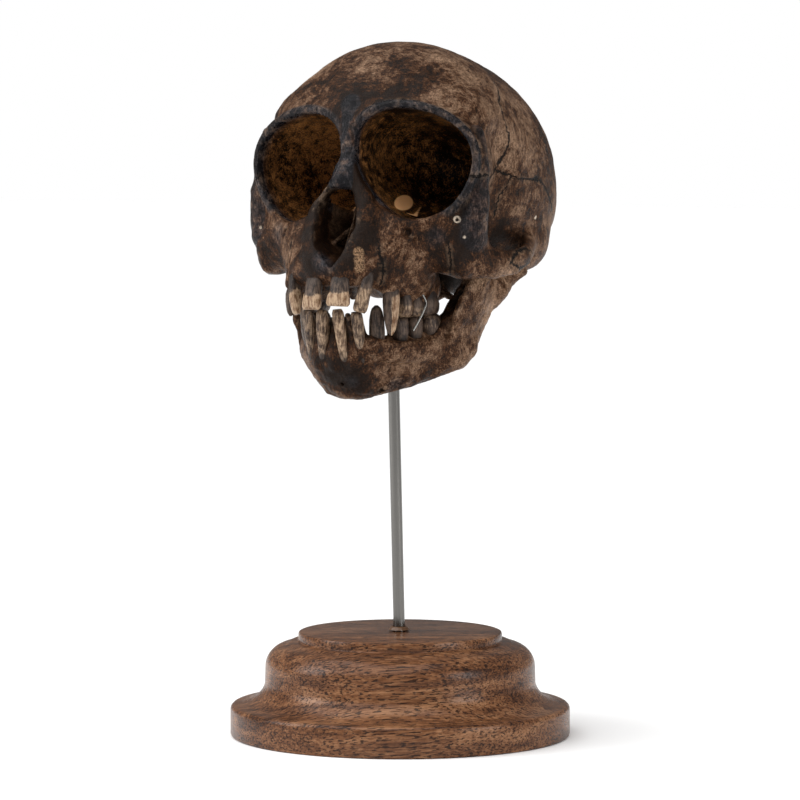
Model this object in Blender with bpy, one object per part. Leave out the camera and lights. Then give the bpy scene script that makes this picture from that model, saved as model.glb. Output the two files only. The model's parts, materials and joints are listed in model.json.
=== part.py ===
"""A young vervet monkey's skull, held up by a steel rod on a turned wooden base.

The skull faces -Y, its own left is +X, and the origin is the middle of the base's foot.
Every size below is in millimetres and is turned into metres where a mesh is made.
"""
import math

import bmesh
import bpy
from mathutils import Euler, Matrix, Vector

MM = 0.001
GAP = 0.3

# The stand
BASE_RADIUS = 38.0
BASE_TOP = 23.2
BASE_SEGMENTS = 32
ROD_RADIUS = 1.3
ROD_FOOT = Vector((0.0, 0.0, 13.5))
ROD_LEAN = Vector((-0.0194, -0.0112, 1.0))
ROD_LENGTH = 97.5
ROD_HOLE_SLACK = 0.05
ROD_HOLE_IN_SKULL = 90.0
GLUE_RADIUS = 2.0
GLUE_LIFT = 0.35
GLUE_HEIGHT = 0.9
ROUND_SEGMENTS = 16

# The base's section: the top disc, the shoulder's arc and the hollow curve below it
TOP_DISC_RADIUS = 22.8
TOP_DISC_FOOT = 21.2
SHOULDER_MIDDLE = (25.2, 15.4)
SHOULDER_RADIUS = 5.0
COVE_MIDDLE = (37.2, 12.6)
COVE_RADII = (7.0, 5.6)
BAND_TOP = 6.4

# The wire that ties the jaws together on the left
WIRE_RADIUS = 0.25
WIRE_POINTS = ((15.8, -17.6, 99.4), (16.3, -17.0, 97.6), (16.0, -17.8, 95.6), (15.4, -19.2, 93.2),
               (15.0, -20.4, 91.6))

# Eye sockets: the middle of the left opening, the point where the funnel ends, and its outward turn
ORBIT = Vector((14.8, -18.6, 128.2))
ORBIT_APEX = Vector((9.8, 8.0, 125.5))
ORBIT_TURN = math.radians(13.7)
ORBIT_RADIUS = 12.5
ORBIT_WALL = 2.3
ORBIT_SEGMENTS = 24
# How far each socket stands from the mirrored place: the skull isn't quite even
ORBIT_SHIFT = {1: Vector((-0.5, 0.0, -0.2)), -1: Vector((-1.6, 0.0, -1.4))}
RIM_RADIUS = 1.55
RIM_OUT = 0.5

# Nose opening: half widths up its height, and how it narrows from the front to the back
NOSE_HALF_WIDTHS = ((105.4, 0.5), (107.5, 2.2), (110.5, 4.0), (114.0, 4.9), (117.5, 4.5), (120.5, 3.4),
                    (122.6, 1.8))
NOSE_STAGES = ((-40.0, 1.0), (-26.0, 1.0), (-17.0, 0.55))
NOSE_MIDDLE = 114.0
# Hollows under the skull: the palate, and the hole where the spine joined
HOLLOWS = (
    ((0, -12.0, 95.0), (8.4, 17.0, 8.0)),
    ((0, 30.0, 96.0), (6.5, 7.5, 11.0)),
)

# How finely the two bones are built
VOXEL = 0.85
CRANIUM_TRIANGLES = 2900
MANDIBLE_TRIANGLES = 1150

# The rounded masses of the cranium: centre, radii and turn (degrees about X, Y and Z)
CRANIUM_MIDDLE = (
    ((0, -1.5, 131.0), (26.6, 22.2, 23.7), (0, 0, 0)),
    ((0, 7.5, 128.4), (25.6, 27.0, 24.9), (0, 0, 0)),
    ((0, 15.4, 124.4), (26.0, 31.0, 25.6), (0, 0, 0)),
    ((0, 17.0, 117.0), (25.0, 27.0, 17.0), (0, 0, 0)),
    ((0, -13.0, 111.5), (12.5, 14.0, 12.0), (0, 0, 0)),
    ((0, -22.0, 109.5), (8.6, 9.8, 9.0), (0, 0, 0)),
    ((0, 5.0, 109.0), (10.0, 15.0, 5.5), (0, 0, 0)),
)
CRANIUM_SIDES = (
    ((14.0, -7.5, 136.2), (12.2, 11.0, 9.2), (0, 0, 0)),
    ((10.0, -17.0, 109.0), (8.0, 9.5, 11.5), (0, 0, 18)),
    ((19.0, -15.8, 113.5), (9.0, 4.4, 8.6), (0, 0, 30)),
    ((23.6, -13.8, 109.0), (6.0, 4.2, 6.0), (0, 0, 42)),
    ((20.0, 19.0, 110.0), (5.5, 8.5, 6.5), (0, 0, 0)),
    ((12.5, 12.5, 104.4), (5.4, 8.2, 6.0), (0, 0, -24)),
    ((8.2, 24.0, 101.8), (3.2, 5.6, 3.6), (0, 0, 20)),
)
# Bars of bone: points with a radius, and how much each is flattened along X, Y and Z
BARS_MIDDLE = (
    (((0, -20.3, 140.0, 2.4), (0, -21.8, 134.5, 2.0), (0, -23.2, 129.0, 2.2), (0, -26.0, 123.6, 2.8)),
     (1, 1, 1)),
)
BARS_SIDES = (
    (((26.0, -13.2, 134.0, 2.0), (28.0, -13.6, 126.0, 2.1), (27.8, -14.4, 119.0, 2.6),
      (26.2, -14.6, 112.0, 3.6)), (1, 1, 1)),
    (((24.8, -14.0, 107.6, 5.1), (28.2, -9.0, 106.0, 3.8), (29.9, -2.0, 106.2, 3.1), (29.8, 4.0, 107.8, 2.9),
      (28.2, 10.0, 109.8, 3.1), (25.0, 15.0, 111.8, 3.6)), (1.6, 1.0, 1.0)),
    (((0, -30.6, 105.0, 2.3), (3.4, -30.6, 104.8, 2.3), (8.0, -28.4, 105.0, 2.4), (11.2, -24.0, 104.0, 2.5),
      (12.6, -18.0, 101.4, 2.6), (13.2, -10.5, 101.0, 2.7)), (1, 1, 0.62)),
    (((2.6, -23.4, 126.0, 2.4), (5.8, -24.2, 118.5, 2.6), (6.4, -26.4, 112.0, 2.8), (3.8, -29.6, 106.5, 2.6)),
     (1, 1, 1)),
)
MANDIBLE_MIDDLE = (
    ((0, -24.6, 84.0), (7.6, 3.7, 6.6), (30, 0, 0)),
)
MANDIBLE_BARS = (
    (((0, -26.4, 87.0, 2.3), (4.6, -25.6, 87.0, 2.35), (8.6, -21.8, 86.4, 2.5), (11.8, -17.2, 86.6, 2.6),
      (14.8, -11.0, 87.6, 2.6), (17.6, -6.5, 89.0, 2.3)), (1, 1, 0.62)),
    (((0, -23.2, 81.0, 3.9), (4.0, -21.6, 81.2, 3.7), (8.6, -17.0, 82.6, 3.3), (12.8, -11.8, 84.2, 2.9),
      (17.0, -7.4, 86.4, 2.5), (19.4, -4.4, 88.2, 2.1)), (1, 1, 0.95)),
    (((19.0, -5.6, 89.4, 1.35), (20.6, -5.6, 94.4, 1.45), (22.2, -3.0, 100.0, 1.4)), (1, 0.185, 0.30)),
    (((16.6, -11.6, 92.0, 1.3), (18.0, -12.2, 96.0, 1.2), (20.0, -11.2, 99.5, 1.1), (21.8, -8.4, 102.2, 1.0)),
     (1, 1, 1)),
    (((22.2, 4.0, 99.0, 2.3), (23.2, 8.6, 103.0, 2.1)), (1, 1, 1)),
    (((21.8, 9.5, 104.0, 2.0), (24.8, 9.5, 104.0, 2.0)), (1, 1, 1)),
    (((22.0, -7.0, 99.0, 2.0), (23.4, -5.0, 103.4, 1.5), (23.8, -4.0, 106.4, 1.0)), (1.2, 1, 1)),
)

# Teeth of the left side: name, neck, crown tip, half width along the jaw, half depth, root depth, shape
UPPER_TEETH = (
    ("incisor_1", (3.1, -31.8, 102.4), (3.1, -33.0, 97.4), 2.4, 1.4, 3.4, "blade"),
    ("incisor_2", (8.3, -29.6, 101.6), (7.9, -30.4, 96.0), 1.7, 1.3, 3.2, "blade"),
    ("canine", (12.0, -25.0, 99.8), (11.8, -26.2, 91.4), 1.5, 1.7, 3.4, "fang"),
    ("premolar_1", (13.0, -20.6, 98.6), (12.9, -20.8, 94.7), 1.5, 1.9, 3.0, "block"),
    ("premolar_2", (13.4, -16.6, 98.2), (13.3, -16.6, 94.7), 1.6, 2.0, 3.0, "block"),
    ("molar", (13.8, -11.6, 98.0), (13.7, -11.6, 94.6), 2.3, 2.3, 3.0, "block"),
)
LOWER_TEETH = (
    ("incisor_1", (2.0, -28.6, 88.0), (2.0, -30.8, 96.0), 1.3, 1.4, 3.6, "blade"),
    ("incisor_2", (5.5, -27.4, 88.0), (5.3, -29.6, 95.6), 1.25, 1.4, 3.4, "blade"),
    ("canine", (9.3, -23.8, 88.8), (8.9, -26.2, 98.4), 1.45, 1.6, 3.6, "fang"),
    ("premolar_1", (12.0, -19.2, 89.4), (12.0, -19.4, 94.0), 1.45, 1.6, 3.0, "block"),
    ("premolar_2", (13.2, -15.4, 89.8), (13.2, -15.4, 94.2), 1.5, 1.7, 3.0, "block"),
    ("molar", (14.7, -10.8, 90.2), (14.6, -10.8, 94.4), 2.1, 2.0, 3.0, "block"),
)
# Shares of the half width and half depth at the root's end, the neck, the crown and its edge
TOOTH_SHAPES = {
    "blade": ((0.60, 0.60), (0.72, 0.90), (0.88, 1.00), (1.00, 0.30)),
    "fang": ((0.60, 0.60), (0.90, 0.90), (1.00, 1.00), (0.22, 0.22)),
    "block": ((0.60, 0.60), (0.82, 0.86), (1.00, 1.00), (0.80, 0.74)),
}
TOOTH_SIDES = 8
SOCKET_TOP = 4.6

BONE = (0.062, 0.035, 0.021)
IVORY = (0.36, 0.25, 0.16)
WOOD = (0.155, 0.074, 0.042)
STEEL = (0.30, 0.29, 0.28)
GLUE = (0.10, 0.045, 0.018)


def clear_scene():
    """Take everything out of the open file."""
    for old in list(bpy.data.objects):
        bpy.data.objects.remove(old)


def material(name, colour, roughness, metallic=0.0):
    """One Principled BSDF with a plain colour."""
    mat = bpy.data.materials.new(name)
    mat.use_nodes = True
    shader = mat.node_tree.nodes["Principled BSDF"]
    shader.inputs["Base Color"].default_value = (*colour, 1.0)
    shader.inputs["Roughness"].default_value = roughness
    shader.inputs["Metallic"].default_value = metallic
    mat.diffuse_color = (*colour, 1.0)
    return mat


def add_object(name, bm, mat, smooth_angle=40.0):
    """Make an object from a bmesh; it stays in millimetres until everything is carved."""
    mesh = bpy.data.meshes.new(name)
    bm.to_mesh(mesh)
    bm.free()
    mesh.materials.append(mat)
    mesh.shade_smooth()
    mesh.set_sharp_from_angle(angle=math.radians(smooth_angle))
    obj = bpy.data.objects.new(name, mesh)
    bpy.context.scene.collection.objects.link(obj)
    return obj


def apply_modifiers(obj):
    """Turn what the modifiers make into the object's own mesh."""
    bpy.context.view_layer.update()
    evaluated = obj.evaluated_get(bpy.context.evaluated_depsgraph_get())
    mesh = bpy.data.meshes.new_from_object(evaluated)
    obj.modifiers.clear()
    obj.data = mesh


def to_metres():
    """Bring every finished piece from millimetres to metres."""
    for obj in bpy.data.objects:
        if obj.type == "CURVE":
            for point in obj.data.splines[0].points:
                point.co = (*(point.co.xyz * MM), 1.0)
            obj.data.bevel_depth *= MM
        else:
            apply_modifiers(obj)
            obj.data.transform(Matrix.Diagonal((MM, MM, MM, 1.0)))


def mirrored(point):
    """The same place on the skull's right side."""
    return Vector((-point[0], point[1], point[2]))


def add_ball(bm, centre, radii, turn, side=1):
    """A rounded mass: a sphere stretched, turned and moved; side -1 puts it on the right."""
    rotation = Euler([math.radians(a) for a in turn]).to_matrix().to_4x4()
    stretch = Matrix.Diagonal((*radii, 1.0))
    place = Matrix.Diagonal((side, 1, 1, 1)) @ Matrix.Translation(centre) @ rotation @ stretch
    made = bmesh.ops.create_icosphere(bm, subdivisions=4, radius=1.0, matrix=place)
    if side < 0:
        faces = {face for vert in made["verts"] for face in vert.link_faces}
        bmesh.ops.reverse_faces(bm, faces=list(faces))


def round_directions(count=80):
    """Directions spread evenly over a sphere, along a spiral from pole to pole."""
    golden = math.pi * (3.0 - math.sqrt(5.0))
    for step in range(count):
        height = 1.0 - 2.0 * (step + 0.5) / count
        across = math.sqrt(1.0 - height * height)
        yield Vector((math.cos(golden * step) * across, math.sin(golden * step) * across, height))


def add_bar(bm, points, flatten, side=1):
    """A bar of bone: each stretch is the hull of two spheres, made flatter along each axis."""
    for start, end in zip(points[:-1], points[1:]):
        verts = []
        for x, y, z, radius in (start, end):
            centre = Vector((x * flatten[0] * side, y * flatten[1], z * flatten[2]))
            for direction in round_directions():
                place = centre + direction * radius
                verts.append(bm.verts.new([place[i] / flatten[i] for i in range(3)]))
        hull = bmesh.ops.convex_hull(bm, input=verts, use_existing_faces=False)
        inside = [item for item in hull["geom_interior"] if isinstance(item, bmesh.types.BMVert)]
        bmesh.ops.delete(bm, geom=inside, context="VERTS")


def orbit_outline(angle):
    """Radius of the eye socket's opening, from its outer corner round over the top."""
    squared = 1.0 + 0.10 * math.exp(-((angle - math.radians(142)) / math.radians(32)) ** 2)
    narrow = 1.0 - 0.13 * math.exp(-((angle - math.radians(222)) / math.radians(36)) ** 2)
    flat_top = 1.0 - 0.075 * math.exp(-((angle - math.radians(55)) / math.radians(34)) ** 2)
    return ORBIT_RADIUS * squared * narrow * flat_top


def orbit_ring(depth_share, grow, segments):
    """One ring of the funnel: depth_share 0 is the opening and 1 is the apex."""
    across = Vector((math.cos(ORBIT_TURN), math.sin(ORBIT_TURN), 0.0))
    up = Vector((0.0, 0.0, 1.0))
    shrink = math.sqrt(max(0.0, 1.0 - max(0.0, depth_share) ** 2))
    middle = ORBIT.lerp(ORBIT_APEX, depth_share)
    ring = []
    for step in range(segments):
        angle = 2.0 * math.pi * step / segments
        radius = orbit_outline(angle) * shrink + grow
        ring.append(middle + across * radius * math.cos(angle) + up * radius * math.sin(angle))
    return ring


def add_loft(bm, rings):
    """Skin a row of rings with quads and close both ends."""
    rows = [[bm.verts.new(point) for point in ring] for ring in rings]
    count = len(rows[0])
    faces = []
    for low, high in zip(rows[:-1], rows[1:]):
        for i in range(count):
            j = (i + 1) % count
            faces.append(bm.faces.new((low[i], low[j], high[j], high[i])))
    faces.append(bm.faces.new(rows[0][::-1]))
    faces.append(bm.faces.new(rows[-1]))
    bmesh.ops.recalc_face_normals(bm, faces=faces)


def placed_ring(depth_share, grow, side):
    """A ring of one side's funnel, in its own shifted place."""
    ring = [point + ORBIT_SHIFT[side] for point in orbit_ring(depth_share, grow, ORBIT_SEGMENTS)]
    return ring if side > 0 else [mirrored(point) for point in ring]


def add_orbit(bm, shares, grow, side):
    """A funnel of the eye socket's form, as bone or as a cutter."""
    add_loft(bm, [placed_ring(share, grow, side) for share in shares])


def fuse(name, bm, mat, triangles):
    """Grow the joined masses together into one smooth bone, with few triangles."""
    obj = add_object(name, bm, mat)
    remesh = obj.modifiers.new("grow together", "REMESH")
    remesh.mode = "VOXEL"
    remesh.voxel_size = VOXEL
    smooth = obj.modifiers.new("soften", "SMOOTH")
    smooth.factor = 0.5
    smooth.iterations = 8
    apply_modifiers(obj)
    faces = 2 * len(obj.data.polygons)
    thin = obj.modifiers.new("fewer faces", "DECIMATE")
    thin.ratio = triangles / faces
    thin.use_symmetry = True
    apply_modifiers(obj)
    return obj


def carve(obj, bm, name):
    """Cut a form out of an object with a Boolean."""
    cutter = add_object(name, bm, obj.data.materials[0])
    cutter.hide_render = True
    cutter.display_type = "WIRE"
    cut = obj.modifiers.new(name, "BOOLEAN")
    cut.operation = "DIFFERENCE"
    cut.object = cutter
    apply_modifiers(obj)
    bpy.data.objects.remove(cutter)


def tooth_frame(neck, tip):
    """Directions of a tooth: along it, along the jaw and out of the jaw."""
    along = (Vector(tip) - Vector(neck)).normalized()
    outward = Vector((neck[0], neck[1] + 12.0, 0.0))
    outward = (outward - along * outward.dot(along)).normalized()
    return along, outward.cross(along), outward


def tooth_rings(neck, tip, half_width, half_depth, root, shape, side, grow=0.0):
    """Rings from the root's end to the crown's edge; grow makes the socket."""
    along, across, outward = tooth_frame(neck, tip)
    length = (Vector(tip) - Vector(neck)).length
    heights = (-root - grow, -0.3, 0.5 * length, length)
    stages = [(height, *share) for height, share in zip(heights, TOOTH_SHAPES[shape])]
    if grow:
        stages[2:] = [(SOCKET_TOP, *TOOTH_SHAPES[shape][2])]
    rings = []
    for height, wide, deep in stages:
        middle = Vector(neck) + along * height
        ring = []
        for step in range(TOOTH_SIDES):
            angle = 2.0 * math.pi * (step + 0.5) / TOOTH_SIDES
            offset = across * (half_width * wide + grow) * math.cos(angle)
            offset += outward * (half_depth * deep + grow) * math.sin(angle)
            ring.append(middle + offset)
        rings.append([mirrored(point) for point in ring] if side < 0 else ring)
    return rings


def build_teeth(rows, jaw, mat, bone):
    """Carve a socket for each tooth of one jaw and set the tooth in it."""
    for name, *shape in rows:
        for side, side_name in ((1, "left"), (-1, "right")):
            socket = bmesh.new()
            add_loft(socket, tooth_rings(*shape, side, GAP))
            carve(bone, socket, "socket")
            tooth = bmesh.new()
            add_loft(tooth, tooth_rings(*shape, side))
            add_object(f"{jaw}_{side_name}_{name}", tooth, mat)


def build_base(mat):
    """The turned base: half its section, spun round the middle, with a blind hole for the rod."""
    hole = ROD_RADIUS + GAP + 0.3
    hole_floor = ROD_FOOT.z - GAP
    edge = 0.5
    section = [(0.0, hole_floor), (hole, hole_floor), (hole, BASE_TOP), (TOP_DISC_RADIUS - edge, BASE_TOP),
               (TOP_DISC_RADIUS, BASE_TOP - edge), (TOP_DISC_RADIUS, TOP_DISC_FOOT),
               (SHOULDER_MIDDLE[0], TOP_DISC_FOOT - edge / 2)]
    for degrees in (10, 30, 50, 70, 90):
        turn = math.radians(degrees)
        section.append((SHOULDER_MIDDLE[0] + SHOULDER_RADIUS * math.sin(turn),
                        SHOULDER_MIDDLE[1] + SHOULDER_RADIUS * math.cos(turn)))
    for degrees in (22.5, 45, 67.5, 90):
        turn = math.radians(degrees)
        section.append((COVE_MIDDLE[0] - COVE_RADII[0] * math.cos(turn),
                        COVE_MIDDLE[1] - COVE_RADII[1] * math.sin(turn)))
    section += [(BASE_RADIUS - edge / 2, BAND_TOP), (BASE_RADIUS, BAND_TOP - 3 * edge), (BASE_RADIUS, edge),
                (BASE_RADIUS - edge, 0.0), (0.0, 0.0)]
    bm = bmesh.new()
    verts = [bm.verts.new((x, 0.0, z)) for x, z in section]
    for start, end in zip(verts[:-1], verts[1:]):
        bm.edges.new((start, end))
    base = add_object("base", bm, mat)
    spin = base.modifiers.new("turn on the lathe", "SCREW")
    spin.steps = BASE_SEGMENTS
    spin.render_steps = BASE_SEGMENTS
    spin.use_merge_vertices = True
    spin.merge_threshold = 0.00001
    spin.use_smooth_shade = True
    return base


def build_rod(mat):
    """The straight rod, leaning a little, from inside the base to inside the skull."""
    bm = bmesh.new()
    turn = ROD_LEAN.to_track_quat("Z", "Y").to_matrix().to_4x4()
    middle = ROD_FOOT + ROD_LEAN.normalized() * ROD_LENGTH / 2
    bmesh.ops.create_cone(bm, cap_ends=True, segments=ROUND_SEGMENTS, radius1=ROD_RADIUS, radius2=ROD_RADIUS,
                          depth=ROD_LENGTH, matrix=Matrix.Translation(middle) @ turn)
    return add_object("rod", bm, mat)


def build_glue_ring(mat):
    """The bead of glue on the base round the rod's foot."""
    foot = ROD_FOOT + ROD_LEAN * (BASE_TOP - ROD_FOOT.z)
    bm = bmesh.new()
    rings = []
    inner = ROD_RADIUS + GAP
    skirt = 0.4
    outline = ((inner, GLUE_LIFT), (GLUE_RADIUS + skirt, GLUE_LIFT), (GLUE_RADIUS, GLUE_HEIGHT),
               (inner, GLUE_HEIGHT + skirt / 2))
    for radius, height in outline:
        ring = []
        for step in range(ROUND_SEGMENTS):
            angle = 2.0 * math.pi * step / ROUND_SEGMENTS
            ring.append(bm.verts.new((foot.x + radius * math.cos(angle), foot.y + radius * math.sin(angle),
                                      BASE_TOP + height)))
        rings.append(ring)
    rings.append(rings[0])
    for low, high in zip(rings[:-1], rings[1:]):
        for i in range(ROUND_SEGMENTS):
            j = (i + 1) % ROUND_SEGMENTS
            bm.faces.new((low[i], low[j], high[j], high[i]))
    bmesh.ops.recalc_face_normals(bm, faces=bm.faces)
    return add_object("glue_ring", bm, mat)


def rod_cutter(low, high):
    """A straight hole along the rod's own line, between two heights."""
    bm = bmesh.new()
    scale = 1.0 / ROD_LEAN.normalized().z
    depth = (high - low) * scale
    turn = ROD_LEAN.to_track_quat("Z", "Y").to_matrix().to_4x4()
    middle = ROD_FOOT + ROD_LEAN * ((low + high) / 2 - ROD_FOOT.z)
    radius = ROD_RADIUS + GAP + ROD_HOLE_SLACK
    bmesh.ops.create_cone(bm, cap_ends=True, segments=ROUND_SEGMENTS, radius1=radius, radius2=radius,
                          depth=depth, matrix=Matrix.Translation(middle) @ turn)
    return bm


def nose_cutter():
    """The pear-shaped opening of the nose, pushed back into the face."""
    right = [(-half, z) for z, half in NOSE_HALF_WIDTHS]
    left = [(half, z) for z, half in reversed(NOSE_HALF_WIDTHS)]
    outline = right + left
    bm = bmesh.new()
    rings = []
    for y, share in NOSE_STAGES:
        rings.append([Vector((x * share, y, NOSE_MIDDLE + (z - NOSE_MIDDLE) * share)) for x, z in outline])
    add_loft(bm, rings)
    return bm


def build_cranium(mat):
    """Braincase, face, cheek arches and upper jaw, grown as one bone."""
    bm = bmesh.new()
    for centre, radii, turn in CRANIUM_MIDDLE:
        add_ball(bm, centre, radii, turn)
    for points, flatten in BARS_MIDDLE:
        add_bar(bm, points, flatten)
    for side in (1, -1):
        for centre, radii, turn in CRANIUM_SIDES:
            add_ball(bm, centre, radii, turn, side)
        for points, flatten in BARS_SIDES:
            add_bar(bm, points, flatten, side)
        add_orbit(bm, (0.0, 0.25, 0.5, 0.7, 0.85, 0.95), ORBIT_WALL, side)
        rim = placed_ring(0.0, RIM_OUT, side)
        add_bar(bm, [(*point, RIM_RADIUS) for point in rim + rim[:1]], (1, 1, 1))
    cranium = fuse("cranium", bm, mat, CRANIUM_TRIANGLES)
    for side in (1, -1):
        funnel = bmesh.new()
        add_orbit(funnel, (-0.3, 0.0, 0.35, 0.65, 0.86, 0.96), 0.0, side)
        carve(cranium, funnel, "eye socket")
    carve(cranium, nose_cutter(), "nose")
    for centre, radii in HOLLOWS:
        hollow = bmesh.new()
        place = Matrix.Translation(centre) @ Matrix.Diagonal((*radii, 1.0))
        bmesh.ops.create_icosphere(hollow, subdivisions=3, radius=1.0, matrix=place)
        carve(cranium, hollow, "hollow")
    carve(cranium, rod_cutter(ROD_HOLE_IN_SKULL, ROD_FOOT.z + ROD_LENGTH + GAP), "rod hole")
    return cranium


def build_mandible(mat):
    """The lower jaw: the chin, two bodies and two rami, grown as one bone."""
    bm = bmesh.new()
    for centre, radii, turn in MANDIBLE_MIDDLE:
        add_ball(bm, centre, radii, turn)
    for side in (1, -1):
        for points, flatten in MANDIBLE_BARS:
            add_bar(bm, points, flatten, side)
    return fuse("mandible", bm, mat, MANDIBLE_TRIANGLES)


def build_wire(mat):
    """The thin wire that ties the jaws together on the left."""
    curve = bpy.data.curves.new("jaw_wire", "CURVE")
    curve.dimensions = "3D"
    curve.bevel_depth = WIRE_RADIUS
    curve.bevel_resolution = 1
    curve.use_fill_caps = True
    spline = curve.splines.new("POLY")
    spline.points.add(len(WIRE_POINTS) - 1)
    for item, point in zip(spline.points, WIRE_POINTS):
        item.co = (*point, 1.0)
    curve.materials.append(mat)
    wire = bpy.data.objects.new("jaw_wire", curve)
    bpy.context.scene.collection.objects.link(wire)
    return wire


def main():
    clear_scene()
    bone = material("dark bone", BONE, 0.45)
    ivory = material("tooth", IVORY, 0.35)
    wood = material("varnished wood", WOOD, 0.4)
    steel = material("steel", STEEL, 0.3, 1.0)
    glue = material("glue", GLUE, 0.4)
    build_base(wood)
    build_rod(steel)
    build_glue_ring(glue)
    cranium = build_cranium(bone)
    mandible = build_mandible(bone)
    build_teeth(UPPER_TEETH, "upper", ivory, cranium)
    build_teeth(LOWER_TEETH, "lower", ivory, mandible)
    build_wire(steel)
    to_metres()


main()
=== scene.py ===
# %% [markdown]
# # A small monkey skull on a turned wooden stand
# The real object is a dark, waxed skull of a young vervet monkey. A thin steel rod carries it
# over a round base of brown wood. The solids made in CAD give every piece its size and place.
# This script dresses them: finer bone, finer teeth, grain, wax, cracks and soft studio light.

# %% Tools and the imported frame
import json
import math

import bmesh
import bpy
import numpy as np
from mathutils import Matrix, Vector

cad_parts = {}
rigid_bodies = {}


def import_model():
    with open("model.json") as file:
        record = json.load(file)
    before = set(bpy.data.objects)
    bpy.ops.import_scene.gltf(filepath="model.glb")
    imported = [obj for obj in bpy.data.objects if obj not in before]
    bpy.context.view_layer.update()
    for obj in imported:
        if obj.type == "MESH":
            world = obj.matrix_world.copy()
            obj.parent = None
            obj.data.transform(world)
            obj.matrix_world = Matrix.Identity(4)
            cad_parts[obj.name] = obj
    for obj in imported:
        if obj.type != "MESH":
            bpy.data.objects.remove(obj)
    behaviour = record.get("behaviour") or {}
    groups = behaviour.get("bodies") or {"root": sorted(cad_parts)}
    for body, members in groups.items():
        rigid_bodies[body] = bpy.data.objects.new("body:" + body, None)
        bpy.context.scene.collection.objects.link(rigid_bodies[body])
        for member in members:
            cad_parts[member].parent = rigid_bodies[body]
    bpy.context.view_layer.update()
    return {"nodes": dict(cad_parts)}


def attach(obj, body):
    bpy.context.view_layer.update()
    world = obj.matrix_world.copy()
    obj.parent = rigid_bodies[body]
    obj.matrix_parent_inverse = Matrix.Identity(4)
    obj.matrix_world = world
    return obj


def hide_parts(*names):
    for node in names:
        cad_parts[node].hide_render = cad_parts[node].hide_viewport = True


for old in list(bpy.data.objects):
    bpy.data.objects.remove(old)

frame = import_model()
MM = 0.001

# %% [markdown]
# ## Camera, floor and light
# The picture was taken with a long lens a little above the chin, from the skull's left front.
# The base is 76 mm wide, which fixes the distance. The floor is plain white, and one broad
# soft light from above does most of the work, because the wax only shows wide, calm highlights.

# %% Camera
FOCAL_PIXELS = 4080.0
PICTURE = 800.0
YAW = math.radians(30.0)
PITCH = math.radians(3.73)
BASE_WIDTH = 76.0
BASE_PIXELS = 339.0
DISTANCE = BASE_WIDTH * FOCAL_PIXELS / BASE_PIXELS * MM
ORIGIN_ON_PICTURE = (400.2, 733.8)

scene = bpy.context.scene
back = Vector((math.sin(YAW) * math.cos(PITCH), -math.cos(YAW) * math.cos(PITCH), math.sin(PITCH)))
right = Vector((math.cos(YAW), math.sin(YAW), 0.0))
up = back.cross(right)
lens = bpy.data.cameras.new("studio camera")
lens.sensor_width = 36.0
lens.lens = FOCAL_PIXELS * lens.sensor_width / PICTURE
lens.clip_start = 0.05
lens.clip_end = 50.0
camera = bpy.data.objects.new("studio camera", lens)
scene.collection.objects.link(camera)
aside = (ORIGIN_ON_PICTURE[0] - PICTURE / 2) / FOCAL_PIXELS * DISTANCE
above = (PICTURE / 2 - ORIGIN_ON_PICTURE[1]) / FOCAL_PIXELS * DISTANCE
camera.location = back * DISTANCE - right * aside - up * above
camera.rotation_mode = "QUATERNION"
camera.rotation_quaternion = (-back).to_track_quat("-Z", "Y")
scene.camera = camera
print("camera stands at", [round(v, 3) for v in camera.location])

# %% [markdown]
# ## A helper for nodes
# A material is a tree of small steps. Written out one socket at a time it is long and hard to
# read, so a short class adds a node, fills its sockets and hands back the output.

# %% A helper for nodes
class Maker:
    """Adds nodes to a tree: socket values may be plain values or other nodes' outputs."""

    def __init__(self, tree):
        self.tree = tree

    def add(self, kind, inputs=None, **settings):
        node = self.tree.nodes.new(kind)
        for name, value in settings.items():
            setattr(node, name, value)
        self.give(node, inputs or {})
        return node

    def give(self, node, inputs):
        for name, value in inputs.items():
            socket = node.inputs[name]
            if isinstance(value, bpy.types.NodeSocket):
                self.tree.links.new(value, socket)
            else:
                socket.default_value = value

    def noise(self, place, scale, detail=4.0, rough=0.55, warp=0.0):
        made = self.add("ShaderNodeTexNoise", {"Vector": place, "Scale": scale, "Detail": detail,
                                               "Roughness": rough, "Distortion": warp})
        return made.outputs["Fac"]

    def stretch(self, place, scale, turn=(0.0, 0.0, 0.0)):
        made = self.add("ShaderNodeMapping", {"Vector": place, "Scale": scale, "Rotation": turn})
        return made.outputs["Vector"]

    def ramp(self, value, start, end, low_value=0.0, high_value=1.0):
        made = self.add("ShaderNodeMapRange", {"Value": value, "From Min": start, "From Max": end,
                                               "To Min": low_value, "To Max": high_value})
        return made.outputs["Result"]

    def math(self, operation, first, second=0.0):
        made = self.add("ShaderNodeMath", {0: first, 1: second}, operation=operation)
        return made.outputs[0]

    def times(self, first, second):
        return self.math("MULTIPLY", first, second)

    def weigh(self, parts, start=0.5):
        """Several noises added with weights, each counted from its middle value."""
        total = start
        for value, weight in parts:
            inputs = {0: self.math("SUBTRACT", value, 0.5), 1: weight, 2: total}
            total = self.add("ShaderNodeMath", inputs, operation="MULTIPLY_ADD").outputs[0]
        return total

    def mix(self, share, first, second, blend="MIX"):
        made = self.add("ShaderNodeMix", {0: share, 6: first, 7: second}, data_type="RGBA",
                        blend_type=blend)
        return made.outputs[2]

    def value(self, name):
        return self.add("ShaderNodeAttribute", attribute_name=name).outputs["Fac"]

    def bump(self, height, distance, strength=1.0, under=None):
        inputs = {"Height": height, "Distance": distance, "Strength": strength}
        if under is not None:
            inputs["Normal"] = under
        return self.add("ShaderNodeBump", inputs).outputs["Normal"]


def new_material(name):
    """An empty material with its shader; returns the material, a maker and the shader."""
    mat = bpy.data.materials.new(name)
    mat.use_nodes = True
    return mat, Maker(mat.node_tree), mat.node_tree.nodes["Principled BSDF"]


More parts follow.
